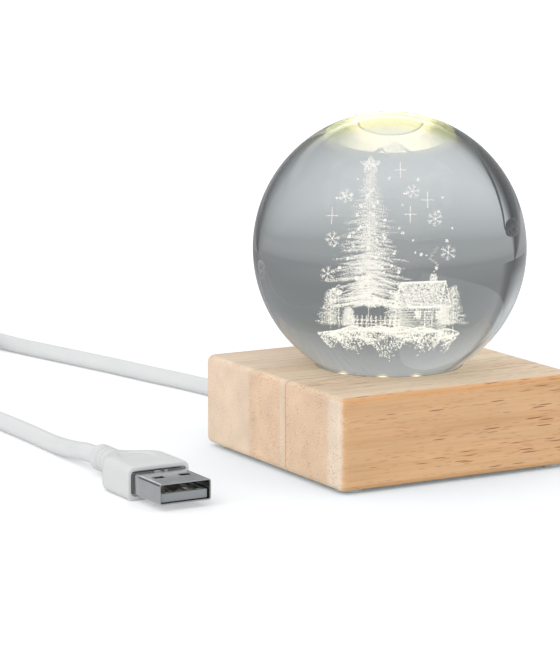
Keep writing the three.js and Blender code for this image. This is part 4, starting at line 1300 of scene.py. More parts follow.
@dataclass
class Plug:
    """The USB-A plug: a moulded grip, a folded shell, a tongue and its contacts."""

    front: float = -23.9
    shell_width: float = 12
    shell_height: float = 4.5
    wall: float = 0.3
    fold: float = 0.6
    reach: float = 11.8
    inset: float = 4
    window: Place = (2.5, 2.0)
    window_spread: float = 3
    window_back: float = 6.2
    grip_width: float = 14.6
    grip_height: float = 7.4
    grip_corner: float = 1.6
    lip: float = 0.6
    body_length: float = 10.6
    taper_length: float = 10.4
    sleeve_length: float = 5.8
    sleeve_radius: float = 2.9
    groove_depth: float = 0.6
    groove_width: float = 1.2
    grooves: int = 2
    recess_depth: float = 0.3
    mouth_gap: float = 0.4
    mouth_depth: float = 0.9
    slack: float = 0.1
    raised: float = 0.24
    seam: Place = (0.04, 0.12)
    thumb_rest: Place = (3.9, 9.6, 5.4)
    tongue_height: float = 1.85
    tongue_recess: float = 0.6
    contact: Place = (1.0, 7.4, 0.2)
    contact_pitch: float = 2.35
    contact_recess: float = 1.2
    stations: int = 60
    points_round: int = 128

    @property
    def grip_front(self) -> float:
        """Y of the grip's front face."""
        return self.front + self.reach

    @property
    def tongue_top(self) -> float:
        """Height of the tongue's upper face."""
        return PLUG_AXIS - self.shell_height / 2 + self.wall + self.slack + self.tongue_height

    def contact_places(self) -> list[float]:
        """Give the X of each contact's middle."""
        return [PLUG_X + (number - 1.5) * self.contact_pitch for number in range(4)]

    def slab(self, half: float, y: Place, z: Place, off: float = 0) -> bpy.types.Object:
        """Add a block on the plug.

        Args:
            half: Half its width.
            y: Where it starts and ends along Y.
            z: Heights of its bottom and top.
            off: How far its middle is to the right of the plug's.

        Returns:
            The block.
        """
        x = PLUG_X + off
        return Bench.block((x - half, y[0], z[0]), (x + half, y[1], z[1]))

    def groove_places(self) -> list[float]:
        """Give the middle of each groove, measured from the grip's front."""
        start = self.body_length + self.taper_length
        pitch = self.sleeve_length / (self.grooves + 1)
        return [start + (number + 0.5) * pitch for number in range(self.grooves)]

    def groove(self, along: float) -> float:
        """Give how deep the sleeve's grooves are at a distance from the grip's front."""
        off = min(abs(along - place) for place in self.groove_places()) / (self.groove_width / 2)
        return self.groove_depth * min(1.0, 2 * max(0.0, 1 - off))

    def section(self, along: float) -> Place:
        """Give the grip's half width, half height and corner at a distance from its front."""
        wide, high, corner = self.grip_width / 2, self.grip_height / 2, self.grip_corner
        if along < self.lip:
            inset = self.lip - math.sqrt(max(0.0, self.lip**2 - (self.lip - along) ** 2))
            return wide - inset, high - inset, corner - inset
        share = min(1.0, max(0.0, (along - self.body_length) / self.taper_length))
        ease = share * share * (3 - 2 * share)
        end = self.sleeve_radius - self.groove(along)
        return wide + (end - wide) * ease, high + (end - high) * ease, corner + (end - corner) * ease

    def outline(self, turn: float, along: float) -> tuple[float, float]:
        """Give a point of the grip's skin, sideways and upwards from its axis.

        Args:
            turn: Angle round the axis, in radians.
            along: Distance from the grip's front.

        Returns:
            The point's sideways and upward distance.
        """
        wide, high, corner = self.section(along)
        way = Vector((wide * math.cos(turn), high * math.sin(turn))).normalized()
        x, z = abs(way.x), abs(way.y)
        if x > 1e-9 and wide / x * z <= high - corner:
            reach = wide / x
        elif z > 1e-9 and high / z * x <= wide - corner:
            reach = high / z
        else:
            middle = Vector((wide - corner, high - corner))
            onto = Vector((x, z)).dot(middle)
            reach = onto + math.sqrt(max(0.0, onto**2 - middle.length_squared + corner**2))
        return way.x * reach, way.y * reach

    def grip(self) -> bpy.types.Object:
        """Mould the grip: a bar whose many rings are drawn onto its sections."""
        sleeve = self.body_length + self.taper_length
        length = sleeve + self.sleeve_length
        start = self.grip_front
        bar = Bench.laid_down(Bench.drum(5, 0, length, self.points_round), (PLUG_X, start, PLUG_AXIS))
        rings = [self.lip * (1 - math.cos(step / 6 * math.pi / 2)) for step in range(1, 7)]
        rings += list(np.linspace(self.lip, sleeve, self.stations)[1:])
        for place in self.groove_places():
            rings += [place + self.groove_width / 2 * off for off in (-1, -0.75, -0.5, 0, 0.5, 0.75, 1)]
        Bench.ring_cuts(bar, [start + along for along in rings])
        for point in bar.data.vertices:
            x, y, z = point.co / MM
            along = min(length, max(0.0, y - start))
            side, up = self.outline(math.atan2(z - PLUG_AXIS, x - PLUG_X), along)
            wide, middle, long = self.thumb_rest
            bowl = (side / wide) ** 2 + ((along - middle) / long) ** 2
            if up > 0 and bowl < 1:
                up -= self.recess_depth * min(1.0, (1 - bowl) * 5)
            point.co = Vector((PLUG_X + side, start + along, PLUG_AXIS + up)) * MM
        hollows = []
        for gap, end, rounding, steps in (
            (self.slack, self.inset + self.slack, self.fold + self.slack, 4),
            (self.slack + self.mouth_gap, self.mouth_depth, self.fold + self.mouth_gap, 6),
        ):
            high = self.shell_height / 2 + gap
            heights = (PLUG_AXIS - high, PLUG_AXIS + high)
            hollow = self.slab(self.shell_width / 2 + gap, (start - 1, start + end), heights)
            Bench.round_edges(hollow, rounding, steps, lengthwise)
            hollows.append(hollow)
        Bench.cut(bar, *hollows)
        return bar

    def shell(self) -> bpy.types.Object:
        """Fold the shell, with its windows, its pressed bar and dot, and the seam below."""
        end = self.grip_front + self.inset
        top, bottom = PLUG_AXIS + self.shell_height / 2, PLUG_AXIS - self.shell_height / 2
        shell = self.slab(self.shell_width / 2, (self.front, end), (bottom, top))
        Bench.round_edges(shell, self.fold, 6, lengthwise)
        Bench.open_ends(shell)
        Bench.modify(shell, "SOLIDIFY", thickness=self.wall * MM, offset=-1, use_even_offset=True)
        width, length = self.window[0] / 2, self.window[1] / 2
        middle = self.front + self.window_back
        cutters = []
        for off in (-self.window_spread, self.window_spread):
            hole = self.slab(width, (middle - length, middle + length), (bottom - 1, top + 1), off)
            Bench.round_edges(hole, 0.25, 3, upright)
            cutters.append(hole)
        seam_half, seam_depth = self.seam
        seam = self.slab(seam_half, (self.front - 1, end + 1), (bottom - 1, bottom + seam_depth))
        Bench.cut(shell, *cutters, seam)
        Bench.soften(shell, 0.05, 2, limit_method="ANGLE", angle_limit=0.9)
        catch = self.grip_front - 0.75
        heights = (top - self.wall / 2, top + self.raised)
        bar = self.slab(0.8, (catch - 0.25, catch + 0.25), heights, -0.7)
        dot = self.slab(0.4, (catch - 0.4, catch + 0.4), heights, 1.25)
        for mark in (bar, dot):
            Bench.soften(mark, 0.22, 3)
        Bench.join(shell, bar, dot)
        return shell

    def tongue(self) -> bpy.types.Object:
        """Mould the tongue, with a channel under each contact."""
        near = self.front + self.tongue_recess
        top = self.tongue_top
        reach = (near, self.grip_front + self.inset)
        tongue = self.slab(self.shell_width / 2 - self.fold, reach, (top - self.tongue_height, top))
        Bench.soften(tongue, 0.14, 3)
        width = self.contact[0] / 2 + 0.08
        far = near + 0.8 + self.contact[1]
        for x in self.contact_places():
            Bench.cut(tongue, Bench.block((x - width, near + 0.35, top - 0.12), (x + width, far, top + 1)))
        return tongue

    def contact_strip(self) -> bpy.types.Object:
        """Stamp one contact, with its front end bent down and a raised wiping spot."""
        width, length, thickness = self.contact
        top = self.tongue_top + 0.05
        near = self.front + self.contact_recess
        strip = Bench.block((-width / 2, near, top), (width / 2, near + length, top + thickness))
        Bench.ring_cuts(strip, [near + along for along in (0.5, 1.1, 1.7, 2.3, 2.9)])
        for point in strip.data.vertices:
            along = point.co.y / MM - near
            if along < 0.1:
                point.co.z -= 0.1 * MM
            elif 1.0 < along < 2.4:
                point.co.z += 0.05 * MM
        Bench.soften(strip, 0.04, 2, limit_method="ANGLE", angle_limit=1.0)
        return strip

    def build(self) -> list[bpy.types.Object]:
        """Make the plug and give its pieces."""
        pieces = [
            Bench.deliver(self.grip(), "plug_grip", BOOT_PVC, nodes=("plug_boot",), smooth=40),
            Bench.deliver(self.shell(), "plug_folded_shell", NICKEL, nodes=("plug_shell",)),
            Bench.deliver(self.tongue(), "plug_tongue_bar", TONGUE_PBT, nodes=("plug_tongue",)),
        ]
        places = [(x, 0) for x in self.contact_places()]
        strips = Bench.spread(self.contact_strip(), places, "plug_contact_strip", "plug_contact", GOLD)
        return [*pieces, *strips]


@dataclass
class WoodenBlock:
    """The square wooden base with its socket, well, cavity and screw holes."""

    size: float = 60
    bottom: float = 0.8
    height: float = 20
    edge: float = 1.5
    corner: float = 2
    socket_radius: float = 15.776
    socket_chamfer: float = 0.5
    socket_floor: float = 17.8
    well_radius: float = 11.976
    cavity_radius: float = 22.476
    ceiling: float = 14.0
    cover_recess: float = 46.6
    cover_corner: float = 5.3
    recess_top: float = 3.1
    entry_radius: float = 3.3
    foot_radius: float = 3.3
    foot_top: float = 2.0
    pilot_radius: float = 1.3
    cover_pilot_top: float = 10.1
    board_pilot: Place = (11.1, 17.4)

    def build(self) -> None:
        """Plane the block, round its edges and cut it out."""
        half, top = self.size / 2, self.bottom + self.height
        block = Bench.block((-half, -half, self.bottom), (half, half, top))
        Bench.round_edges(block, self.corner, 6, upright)
        flat = (self.bottom + 0.1, top - 0.1)
        Bench.round_edges(block, self.edge, 6, lambda middle, way: not flat[0] < middle.z < flat[1])
        mouth = self.socket_radius + self.socket_chamfer + 1
        profile = [(0, self.socket_floor), (self.socket_radius, self.socket_floor)]
        profile += [(self.socket_radius, top - self.socket_chamfer), (mouth, top + 1), (0, top + 1)]
        edge = self.cover_recess / 2
        recess = Bench.block((-edge, -edge, self.bottom - 1), (edge, edge, self.recess_top))
        Bench.round_edges(recess, self.cover_corner, 8, upright)
        entry = Bench.drum(self.entry_radius, 0, half + 1, 48)
        cutters = [
            Bench.drum(self.cavity_radius, self.bottom - 1, self.ceiling, 96),
            Bench.drum(self.well_radius, self.ceiling - 1, self.socket_floor + 1, 96),
            Bench.turned(profile, 128),
            recess,
            Bench.laid_down(entry, (0, 0, ENTRY_HEIGHT)),
        ]
        for place in sorted(corners(FOOT_PLACE)):
            cutters.append(Bench.drum(self.foot_radius, self.bottom - 1, self.foot_top, 48, place))
        for place in sorted(corners(COVER_SCREW_PLACE)):
            cutters.append(Bench.drum(self.pilot_radius, self.bottom, self.cover_pilot_top, 24, place))
        for place in places_round(BOARD_SCREW_RADIUS, BOARD_SCREWS):
            cutters.append(Bench.drum(self.pilot_radius, *self.board_pilot, 24, place))
        Bench.cut(block, *cutters)
        Bench.deliver(block, "rubberwood_block", Rubberwood(), nodes=("wooden_base",), smooth=30)


@dataclass
class GlassBall:
    """The solid ball of optical glass."""

    levels: int = 6

    def build(self) -> None:
        """Round a cube into an evenly faceted ball."""
        Bench.clear()
        bpy.ops.mesh.primitive_cube_add(size=BALL_RADIUS * MM)
        ball = bpy.context.object
        Bench.modify(ball, "SUBSURF", levels=self.levels)
        Bench.modify(ball, "CAST", factor=1.0, use_radius_as_size=False, size=BALL_RADIUS * MM)
        ball.location = (0, 0, BALL_CENTRE * MM)
        Bench.deliver(ball, "glass_ball", OpticalGlass(), Body.BALL, ("crystal_ball",), smooth=60)


@dataclass
class SeatRing:
    """The clear ring that carries the ball, with a thin bead that leans on the glass."""

    outer: float = 15.476
    bore: float = 12.576
    low: float = 17.9
    gap: float = 0.15
    bead_radius: float = 16.15
    bead_top: float = 20.95

    def build(self) -> None:
        """Turn the ring and its bead."""
        reach = BALL_RADIUS + self.gap
        lean = math.sqrt(reach**2 - (BALL_CENTRE - self.bead_top) ** 2)
        profile = [(self.bore, self.low), (self.outer - 0.1, self.low), (self.outer, self.low + 0.1)]
        profile += [(self.outer, 20.15), (self.bead_radius - 0.08, 20.72), (self.bead_radius, 20.82)]
        profile += [(self.bead_radius - 0.04, self.bead_top - 0.03), (self.bead_radius - 0.12, self.bead_top)]
        for radius in np.linspace(lean, self.bore, 14):
            profile.append((radius, BALL_CENTRE - math.sqrt(reach**2 - radius**2)))
        profile.append((self.bore, self.low))
        ring = Bench.turned(profile, 144)
        Bench.deliver(ring, "clear_seat_ring", LitSilicone(), Body.SEAT, ("seat_ring",), smooth=40)


@dataclass
class Fittings:
    """What is screwed, pushed or glued into the base."""

    entry_face: float = 31.3
    back: float = 30.1
    bush_bore: float = 2.3
    bush_radius: float = 3
    flange_radius: float = 4.6
    flange_round: float = 0.4
    inner_face: float = 22.575
    foot_radius: float = 3
    foot_top: float = 1.7
    cover_size: float = 46
    cover_corner: float = 5
    cover_low: float = 0.8
    cover_top: float = 2.8
    board_bottom: float = 12.1
    cover_edge: float = 0.35
    groove_radii: Place = (14.6, 15.2)
    groove_depth: float = 0.3
    screw_head: float = 1.9
    screw_sink: float = 2.2
    sink_depth: float = 1.1
    screw_hole: float = 1.3
    shank_radius: float = 1.0
    thread_root: float = 0.78
    thread_pitch: float = 0.7
    stub_near: float = 13.96
    wire_radius: float = 0.6

    def bush(self) -> None:
        """Turn the flanged bush that the lead comes out of."""
        face, flange, rounding = self.entry_face, self.flange_radius, self.flange_round
        profile = [(self.bush_bore, self.inner_face), (self.bush_radius, self.inner_face)]
        profile += [(self.bush_radius, self.back), (flange - 0.1, self.back), (flange, self.back + 0.1)]
        for step in range(6):
            turn = step / 5 * math.pi / 2
            profile.append((flange - rounding * (1 - math.cos(turn)), face - rounding * (1 - math.sin(turn))))
        profile += [(self.bush_bore + 0.25, face), (self.bush_bore, face - 0.25)]
        profile.append((self.bush_bore, self.inner_face))
        bush = Bench.laid_down(Bench.turned(profile, 48), (0, 0, ENTRY_HEIGHT))
        Bench.deliver(bush, "lead_bush", BOOT_PVC, nodes=("cord_grommet",))

    def inner_run(self) -> None:
        """Run the lead's inner end and its two wires to the board."""
        line = np.array([(0, y, ENTRY_HEIGHT) for y in np.linspace(self.stub_near, 30, 12)])
        stub = tube(line, 2, 24)
        Bench.deliver(stub, "lead_inner_end", CORD_PVC, nodes=("cord_inner_end",), smooth=60)
        start = self.stub_near - 0.3
        pad = self.board_bottom - 0.3
        for name, side, finish in (("wire_red", -1, RED_INSULATION), ("wire_black", 1, BLACK_INSULATION)):
            run = [(side * 0.9, start, ENTRY_HEIGHT), (side * 0.9, start - 2, ENTRY_HEIGHT)]
            run += [(side * 3, 4, pad - 2), (side * 3, 4, pad)]
            wire = tube(Curve(run).sampled(0.5), self.wire_radius, 14)
            Bench.deliver(wire, f"{name}_run", finish, nodes=(name,), smooth=60)

    def feet(self) -> None:
        """Turn one foot with a softly rounded tread, and copy it."""
        edge = 0.35
        profile = [(0, 0.0), (self.foot_radius - edge - 0.4, 0.0)]
        for step in range(6):
            turn = step / 5 * math.pi / 2
            profile.append((self.foot_radius - edge * (1 - math.sin(turn)), edge * (1 - math.cos(turn))))
        profile += [(self.foot_radius, self.foot_top - 0.1), (self.foot_radius - 0.1, self.foot_top)]
        foot = Bench.turned([*profile, (0, self.foot_top)], 48)
        Bench.spread(foot, corners(FOOT_PLACE), "foot_pad", "foot", FOOT_RUBBER)

    def screw(self, head: float, head_height: float, length: float, face: float) -> bpy.types.Object:
        """Turn one pan-head screw with a cross recess.

        Args:
            head: Radius of its head.
            head_height: Height of its head.
            length: Length of its shank.
            face: Height of the face that the head sits under.

        Returns:
            The screw on the upright axis.
        """
        low = face - head_height
        profile = [(0, low), (head * 0.62, low + 0.04), (head - 0.16, low + 0.22), (head, low + 0.45)]
        shank = self.shank_radius
        profile += [(head, face - 0.05), (head - 0.05, face), (shank, face)]
        crest = face + 0.35
        while crest < face + length - 1.6:
            profile += [(shank, crest), (self.thread_root, crest + 0.25), (shank, crest + 0.5)]
            crest += self.thread_pitch
        profile += [(0.95, face + length - 1.2), (0, face + length)]
        screw = Bench.turned(profile, 32)
        arm, slot = head * 0.52, 0.2
        for x, y in ((arm, slot), (slot, arm)):
            Bench.cut(screw, Bench.block((-x, -y, low - 1), (x, y, low + 0.6)))
        return screw

    def screws(self) -> None:
        """Place the cover's and the board's screws."""
        screw = self.screw(self.screw_head, 1.0, 8, self.cover_low + 1.0)
        Bench.spread(screw, corners(COVER_SCREW_PLACE), "cover_pan_screw", "cover_screw", ZINC, 0.7)
        screw = self.screw(self.screw_head, 1.1, 5, self.board_bottom - 0.1)
        places = places_round(BOARD_SCREW_RADIUS, BOARD_SCREWS)
        Bench.spread(screw, places, "board_pan_screw", "board_screw", ZINC, 0.9)

    def cover(self) -> None:
        """Mould the bottom cover, with soft edges, a ring groove and sunk places for its screws."""
        half = self.cover_size / 2
        plate = Bench.block((-half, -half, self.cover_low), (half, half, self.cover_top))
        Bench.round_edges(plate, self.cover_corner, 8, upright)
        Bench.round_edges(plate, self.cover_edge, 3, lambda middle, way: middle.z < self.cover_low + 0.1)
        cutters = []
        for place in sorted(corners(COVER_SCREW_PLACE)):
            sunk = self.cover_low + self.sink_depth
            cutters.append(Bench.drum(self.screw_sink, self.cover_low - 1, sunk, 48, place))
            cutters.append(Bench.drum(self.screw_hole, self.cover_low, self.cover_top + 1, 32, place))
        inner, outer = self.groove_radii
        groove = Bench.drum(outer, self.cover_low - 1, self.cover_low + self.groove_depth, 96)
        Bench.cut(groove, Bench.drum(inner, self.cover_low - 2, self.cover_low + 1, 96))
        Bench.cut(plate, *cutters, groove)
        Bench.deliver(plate, "underside_cover", COVER_ABS, nodes=("bottom_cover",))

    def build(self) -> None:
        """Make every fitting, and dress the CAD nodes that stay."""
        self.bush()
        self.inner_run()
        self.feet()
        self.cover()
        self.screws()
        dress_node("led_board", BoardLaminate())
        dress_node("cable_tie_stop", TIE_NYLON)
        for number in range(1, 7):
            dress_node(f"led_{number}", LedPackage())
        for number in range(1, 3):
            dress_node(f"resistor_{number}", RESISTOR_CERAMIC)


@dataclass
class Engraving:
    """The picture inside the ball: thousands of tiny cracks, each a faceted speck.

    It is a plain winter scene: a tall fir with a star, a snowed-in cottage, small firs, a lamp
    post and a fence on a mound of snow, under snowflakes and stars. Points are made in the
    picture's own axes, sideways, away and upwards from the ball's middle, in millimetres.
    """

    seed: int = 20
    speck: float = 0.08
    fir_place: Place = (-2.9, 0.6)
    fir_foot: float = -11.6
    fir_top: float = 11.4
    fir_radius: float = 6.8
    fir_branches: int = 250
    cottage_place: Place = (4.9, -1.2)
    cottage_turn: float = 24
    mound_radii: Place = (9.3, 6.2)
    ground: float = -11.7

    def __post_init__(self) -> None:
        """Seed the random draws."""
        self.random = np.random.default_rng(self.seed)

    def line(self, start: Place, end: Place, spacing: float = 0.16) -> np.ndarray:
        """Give specks along a straight line."""
        a, b = np.array(start, float), np.array(end, float)
        count = max(2, int(np.linalg.norm(b - a) / spacing))
        return a + (b - a) * np.linspace(0, 1, count)[:, None]

    def patch(self, corner: Place, one: Place, two: Place, density: float) -> np.ndarray:
        """Scatter specks over a flat four-sided patch.

        Args:
            corner: One corner.
            one: The side that leaves that corner.
            two: The other side that leaves it.
            density: Specks per square millimetre.

        Returns:
            The specks.
        """
        a, u, v = (np.array(value, float) for value in (corner, one, two))
        count = max(4, int(np.linalg.norm(np.cross(u, v)) * density))
        share = self.random.random((count, 2))
        return a + share[:, :1] * u + share[:, 1:] * v

    def puff(self, centre: Place, radius: float, count: int) -> np.ndarray:
        """Scatter specks through a small ball."""
        ways = self.random.normal(size=(count, 3))
        ways /= np.linalg.norm(ways, axis=1)[:, None]
        reach = radius * self.random.random((count, 1)) ** (1 / 3)
        return np.array(centre, float) + ways * reach

    def fir(self, place: Place, foot: float, top: float, radius: float, branches: int) -> list[np.ndarray]:
        """Grow one fir from drooping, needled branches that climb the trunk in a spiral.

        Args:
            place: Sideways and away from the ball's middle.
            foot: Height of the trunk's foot.
            top: Height of the tree's tip.
            radius: Reach of the lowest branches.
            branches: Number of branches.

        Returns:
            Groups of specks.
        """
        groups = [self.line((*place, foot), (*place, top), 0.12)]
        height = top - foot
        for branch in range(branches):
            share = (branch / branches) ** 1.15
            turn = branch * GOLDEN_ANGLE + self.random.normal() * 0.2
            out = np.array([math.cos(turn), math.sin(turn), 0.0])
            side = np.array([-math.sin(turn), math.cos(turn), 0.0])
            length = (radius * (1 - share) ** 0.9 + 0.3) * self.random.uniform(0.62, 1.08)
            level = foot + height * (0.12 + 0.88 * share) + 0.12 * length
            droop = length * self.random.uniform(0.25, 0.5)
            steps = max(4, int(length / 0.36))
            for step in range(steps + 1):
                along = step / steps
                point = np.array([*place, level]) + out * (length * along)
                point[2] += 0.2 * length * along - droop * along**1.5 + 0.25 * along**6
                needle = min(0.8, 0.25 + 0.12 * length) * (1 - 0.5 * along) + 0.12
                for hand in (-1, 1):
                    tip = point + (side * hand * 0.8 + out * 0.9) * needle
                    tip[2] -= needle * self.random.uniform(0.0, 0.55)
                    groups.append(self.line(point, tip, 0.22))
        return groups

    def star(self, centre: Place, radius: float, arms: int, waist: float, count: int) -> np.ndarray:
        """Fill a flat star.

        Args:
            centre: Its middle.
            radius: Reach of its points.
            arms: Number of points.
            waist: Inner radius over the outer one.
            count: Number of specks.

        Returns:
            The specks.
        """
        turns = self.random.random(count) * FULL_TURN
        phase = (turns / FULL_TURN * arms) % 1
        edge = radius * (1 - (1 - waist) * np.minimum(1, 2 * np.minimum(phase, 1 - phase)) ** 0.8)
        reach = edge * np.sqrt(self.random.random(count))
        depth = self.random.normal(size=count) * 0.12
        flat = np.stack([np.sin(turns) * reach, depth, np.cos(turns) * reach], axis=1)
        return flat + np.array(centre, float)

    def flake(self, centre: Place, radius: float) -> np.ndarray:
        """Draw a six-armed snowflake with two barbs on each arm."""
        rows = []
        tilt = self.random.random() * 0.4
        for arm in range(6):
            turn = arm / 6 * FULL_TURN + tilt
            way = np.array([math.sin(turn), 0, math.cos(turn)])
            rows.append(self.line((0, 0, 0), way * radius, 0.09))
            for share in (0.55, 0.8):
                for hand in (-1, 1):
                    barb = turn + hand * math.radians(52)
                    off = np.array([math.sin(barb), 0, math.cos(barb)]) * radius * 0.3
                    rows.append(self.line(way * radius * share, way * radius * share + off, 0.1))
        return np.vstack(rows) + np.array(centre, float)

    def cottage(self) -> tuple[list[np.ndarray], list[np.ndarray]]:
        """Build the cottage.

        Returns:
            Its dim log walls, and its bright snowy roof, windows and chimney.
        """
        wide, deep, wall, ridge = 3.0, 2.1, 3.6, 3.0
        dim = []
        bright = []
        for level in np.arange(0.15, wall, 0.4):
            for near in (-deep, deep):
                dim.append(self.line((-wide, near, level), (wide, near, level), 0.11))
            for side in (-wide, wide):
                dim.append(self.line((side, -deep, level), (side, deep, level), 0.12))
        dim.append(self.patch((-wide, -deep, 0), (2 * wide, 0, 0), (0, 0, wall), 22))
        for side in (-wide, wide):
            dim.append(self.patch((side, -deep, 0), (0, 2 * deep, 0), (0, 0, wall), 14))
            for share in np.arange(0.1, 1, 0.14):
                span, level = deep * (1 - share), wall + ridge * share
                dim.append(self.line((side, -span, level), (side, span, level), 0.15))
        over, eaves = 0.5, 0.55
        along = 2 * (wide + over)
        for hand in (-1, 1):
            corner = np.array((-wide - over, hand * (deep + eaves), wall - 0.45))
            slope = np.array((0, -hand * (deep + eaves), ridge + 0.75))
            bright.append(self.patch(corner, (along, 0, 0), slope, 42))
            for share in (0, 0.03, 0.97, 1.0):
                start = corner + slope * share
                bright.append(self.line(start, start + np.array((along, 0, 0)), 0.06))
            for x in (0, along):
                start = corner + np.array((x, 0, 0))
                bright.append(self.line(start, start + slope, 0.06))
            for share in np.arange(0.14, 0.95, 0.16):
                for x in np.arange(0.1, along - 0.5, 0.8):
                    start = corner + slope * share + np.array((x + 0.4 * (share % 0.32 > 0.16), 0, 0))
                    dim.append(self.line(start, start + np.array((0.5, 0, -0.08)), 0.08))
        for x in np.arange(-wide - over, wide + over, 0.42):
            drop = 0.15 + 0.5 * self.random.random()
            start = np.array((x, -deep - eaves, wall - 0.5))
            bright.append(self.line(start, start - np.array((0, 0, drop)), 0.08))
        for x in (-1.75, 1.75):
            bright.append(self.patch((x - 0.55, -deep - 0.1, 1.4), (1.1, 0, 0), (0, 0, 1.2), 130))
        bright.append(self.patch((-0.5, -deep - 0.1, 0), (1.0, 0, 0), (0, 0, 2.3), 16))
        for x in (-0.6, 0.6):
            bright.append(self.line((x, -deep - 0.15, 0), (x, -deep - 0.15, 2.45), 0.06))
        bright.append(self.line((-0.6, -deep - 0.15, 2.45), (0.6, -deep - 0.15, 2.45), 0.06))
        for side in ((0.9, 0, 0), (0, 0.8, 0)):
            dim.append(self.patch((1.4, 0.2, wall + 1.2), side, (0, 0, 2.5), 90))
        bright.append(self.puff((1.85, 0.5, wall + 3.85), 0.6, 110))
        for step in range(9):
            sway = 0.5 * math.sin(step * 0.9)
            dim.append(self.puff((1.9 + sway, 0.5, wall + 4.7 + step * 0.42), 0.16 + 0.035 * step, 9))
        spin = level_turn(self.cottage_turn)
        move = np.array([*self.cottage_place, self.ground])
        return [group @ spin + move for group in dim], [group @ spin + move for group in bright]

    def mound(self) -> list[np.ndarray]:
        """Heap the snow: drifts on top, and a soft lower edge that breaks up into flecks."""
        count = 5600
        turns = self.random.random(count) * FULL_TURN
        reach = np.sqrt(self.random.random(count))
        ragged = 1 + 0.08 * np.sin(turns * 5) + 0.05 * np.sin(turns * 11 + 1)
        wide, deep = self.mound_radii
        x = wide * reach * np.cos(turns) * ragged
        y = deep * reach * np.sin(turns) * ragged
        z = self.ground + 0.4 * np.sin(x * 0.9) * np.cos(y * 0.8) - 0.8 * reach**4
        groups = [np.stack([x, y, z], axis=1)]
        for turn in np.arange(0, FULL_TURN, 0.035):
            bulge = 1 + 0.08 * math.sin(turn * 5) + 0.05 * math.sin(turn * 11 + 1)
            side, along = wide * bulge * math.cos(turn), deep * bulge * math.sin(turn)
            start = np.array([side, along, self.ground - 0.8])
            depth = 0.5 + 0.45 * math.sin(turn * 9) + 0.5 * self.random.random()
            for _ in range(9):
                share = self.random.random() ** 1.6
                inward = 1 - 0.18 * share
                spot = start * np.array([inward, inward, 1]) - np.array([0, 0, 2.2 * depth * share])
                groups.append(self.puff(spot, 0.16, 3))
        return groups

    def yard(self) -> list[np.ndarray]:
        """Set the lamp post and the fence on the mound."""
        low = self.ground
        x, y = -7.7, -2.4
        groups = [self.line((x, y, low), (x, y, low + 4.6), 0.06)]
        groups.append(self.line((x - 0.4, y, low + 4.6), (x + 0.4, y, low + 4.6), 0.06))
        groups.append(self.puff((x, y, low + 5.3), 0.55, 170))
        for side in (-0.65, 0.65):
            groups.append(self.line((x + side, y, low + 5.85), (x, y, low + 6.5), 0.06))
        for x in np.arange(-5.8, 1.6, 0.72):
            y = -4.6 - 0.05 * x
            groups.append(self.patch((x - 0.14, y, low), (0.28, 0, 0), (0, 0, 1.5), 110))
            for side in (-0.14, 0.14):
                groups.append(self.line((x + side, y, low + 1.5), (x, y, low + 1.8), 0.08))
        for level in (0.5, 1.1):
            groups.append(self.line((-6.0, -4.3, low + level), (1.6, -4.7, low + level), 0.07))
        return groups

    def sky(self) -> list[np.ndarray]:
        """Scatter the snowflakes, sparkles and stars over the scene."""
        groups = []
        for place in (
            (-8.4, 0, 1.4), (-6.4, 1, 7.6), (3.4, -1, 8.8), (6.6, 0.5, 4.2), (-9.0, 0, -3.8), (8.4, 1, -0.8)
        ):
            groups.append(self.flake(place, 1.05))
        for place in ((-8.6, 0, 4.9), (1.6, 0, 12.0), (5.6, 0, 7.2), (3.0, 0, 5.0)):
            for way in ((0.85, 0, 0), (0, 0, 1.25)):
                groups.append(self.line(np.array(place) - way, np.array(place) + way, 0.07))
        for _ in range(34):
            place = (self.random.uniform(-9, 9), self.random.uniform(-3, 3), self.random.uniform(-4, 13))
            if math.hypot(place[0], place[2] - 2) < 12:
                size = self.random.uniform(0.08, 0.26)
                groups.append(self.puff(place, size, int(10 + 220 * size**2)))
        return groups

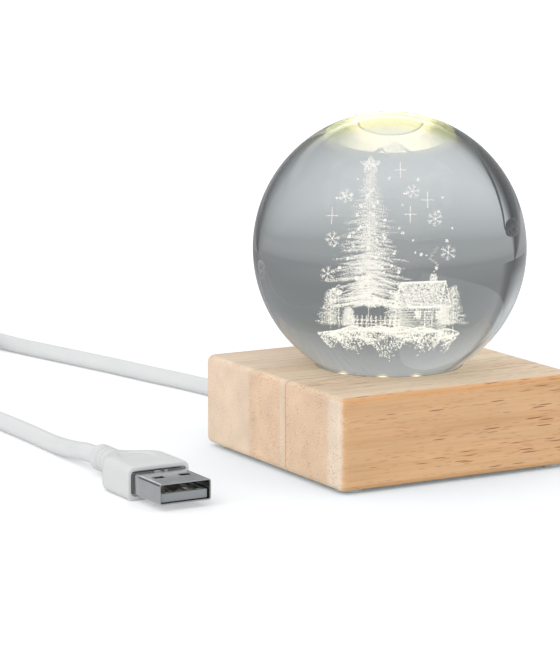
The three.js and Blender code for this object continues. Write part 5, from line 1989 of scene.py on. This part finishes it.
    def piece(self, name: str, groups: Sequence[np.ndarray], glow: float) -> None:
        """Turn groups of specks into one piece that rides in the ball.

        Args:
            name: The piece's name.
            groups: Its specks.
            glow: How brightly it shines beside the rest.
        """
        spots = np.vstack(groups)
        spots = spots + self.random.normal(size=spots.shape) * 0.035
        count = len(spots)
        tips = np.array([(1, 1, 1), (1, -1, -1), (-1, 1, -1), (-1, -1, 1)]) / math.sqrt(3)
        axes = self.random.normal(size=(count, 4))
        axes /= np.linalg.norm(axes, axis=1)[:, None]
        w, x, y, z = axes.T
        spin = np.array(
            [
                [1 - 2 * (y * y + z * z), 2 * (x * y - z * w), 2 * (x * z + y * w)],
                [2 * (x * y + z * w), 1 - 2 * (x * x + z * z), 2 * (y * z - x * w)],
                [2 * (x * z - y * w), 2 * (y * z + x * w), 1 - 2 * (x * x + y * y)],
            ]
        ).transpose(2, 0, 1)
        sizes = self.speck * self.random.uniform(0.75, 1.3, size=(count, 1, 1))
        specks = spots[:, None, :] + np.einsum("nij,kj->nki", spin, tips) * sizes
        placed = specks.reshape(-1, 3) @ level_turn(VIEW_YAW) + np.array([0, 0, BALL_CENTRE])
        first = np.arange(count)[:, None] * 4
        sides = ((0, 1, 2), (0, 3, 1), (0, 2, 3), (1, 3, 2))
        faces = np.concatenate([first + np.array(side) for side in sides])
        obj = Bench.from_arrays(placed, faces.tolist())
        strength = np.repeat(glow * self.random.uniform(0.8, 1.12, size=count), 4).astype(np.float32)
        obj.data.attributes.new("glow", "FLOAT", "POINT").data.foreach_set("value", strength)
        Bench.deliver(obj, name, LaserMark(), Body.BALL, smooth=1)

    def build(self) -> None:
        """Engrave the whole picture, one group of motifs at a time."""
        low, foot, top = self.ground, self.fir_foot, self.fir_top
        tree = self.fir(self.fir_place, foot, top, self.fir_radius, self.fir_branches)
        self.piece("engraved_fir", tree, 0.98)
        trim = [self.star((*self.fir_place, top + 1.3), 1.8, 5, 0.42, 520)]
        for number in range(30):
            share = 0.06 + 0.9 * number / 30
            turn = number * 2.4
            reach = self.fir_radius * (1 - share) ** 0.9 * 0.92
            x = self.fir_place[0] + reach * math.cos(turn)
            y = self.fir_place[1] + reach * math.sin(turn)
            trim.append(self.puff((x, y, foot + (top - foot) * (0.09 + 0.85 * share)), 0.27, 30))
        self.piece("engraved_trim", trim, 1.15)
        dim, bright = self.cottage()
        self.piece("engraved_cottage_walls", dim, 0.74)
        self.piece("engraved_cottage_snow", bright, 1.1)
        self.piece("engraved_mound", self.mound() + self.yard(), 1.0)
        small = []
        firs = ((-8.0, 2.6, 5.4), (9.0, 1.6, 6.0), (1.0, 4.6, 5.2), (8.3, -3.0, 3.4), (-6.0, -1.0, 3.0))
        for x, y, height in firs:
            small += self.fir((x, y), low, low + height, 0.3 * height, 56)
        self.piece("engraved_small_firs", small, 0.9)
        self.piece("engraved_sky", self.sky(), 1.15)


def main() -> None:
    """Build the lamp's looks, the camera and the lead first."""
    logging.basicConfig(level=logging.INFO, format="%(message)s")
    Studio().build()
    Lead().build(Plug().build())
    WoodenBlock().build()
    SeatRing().build()
    Fittings().build()
    GlassBall().build()
    Engraving().build()
    Bench.clear()


if __name__ == "__main__":
    main()
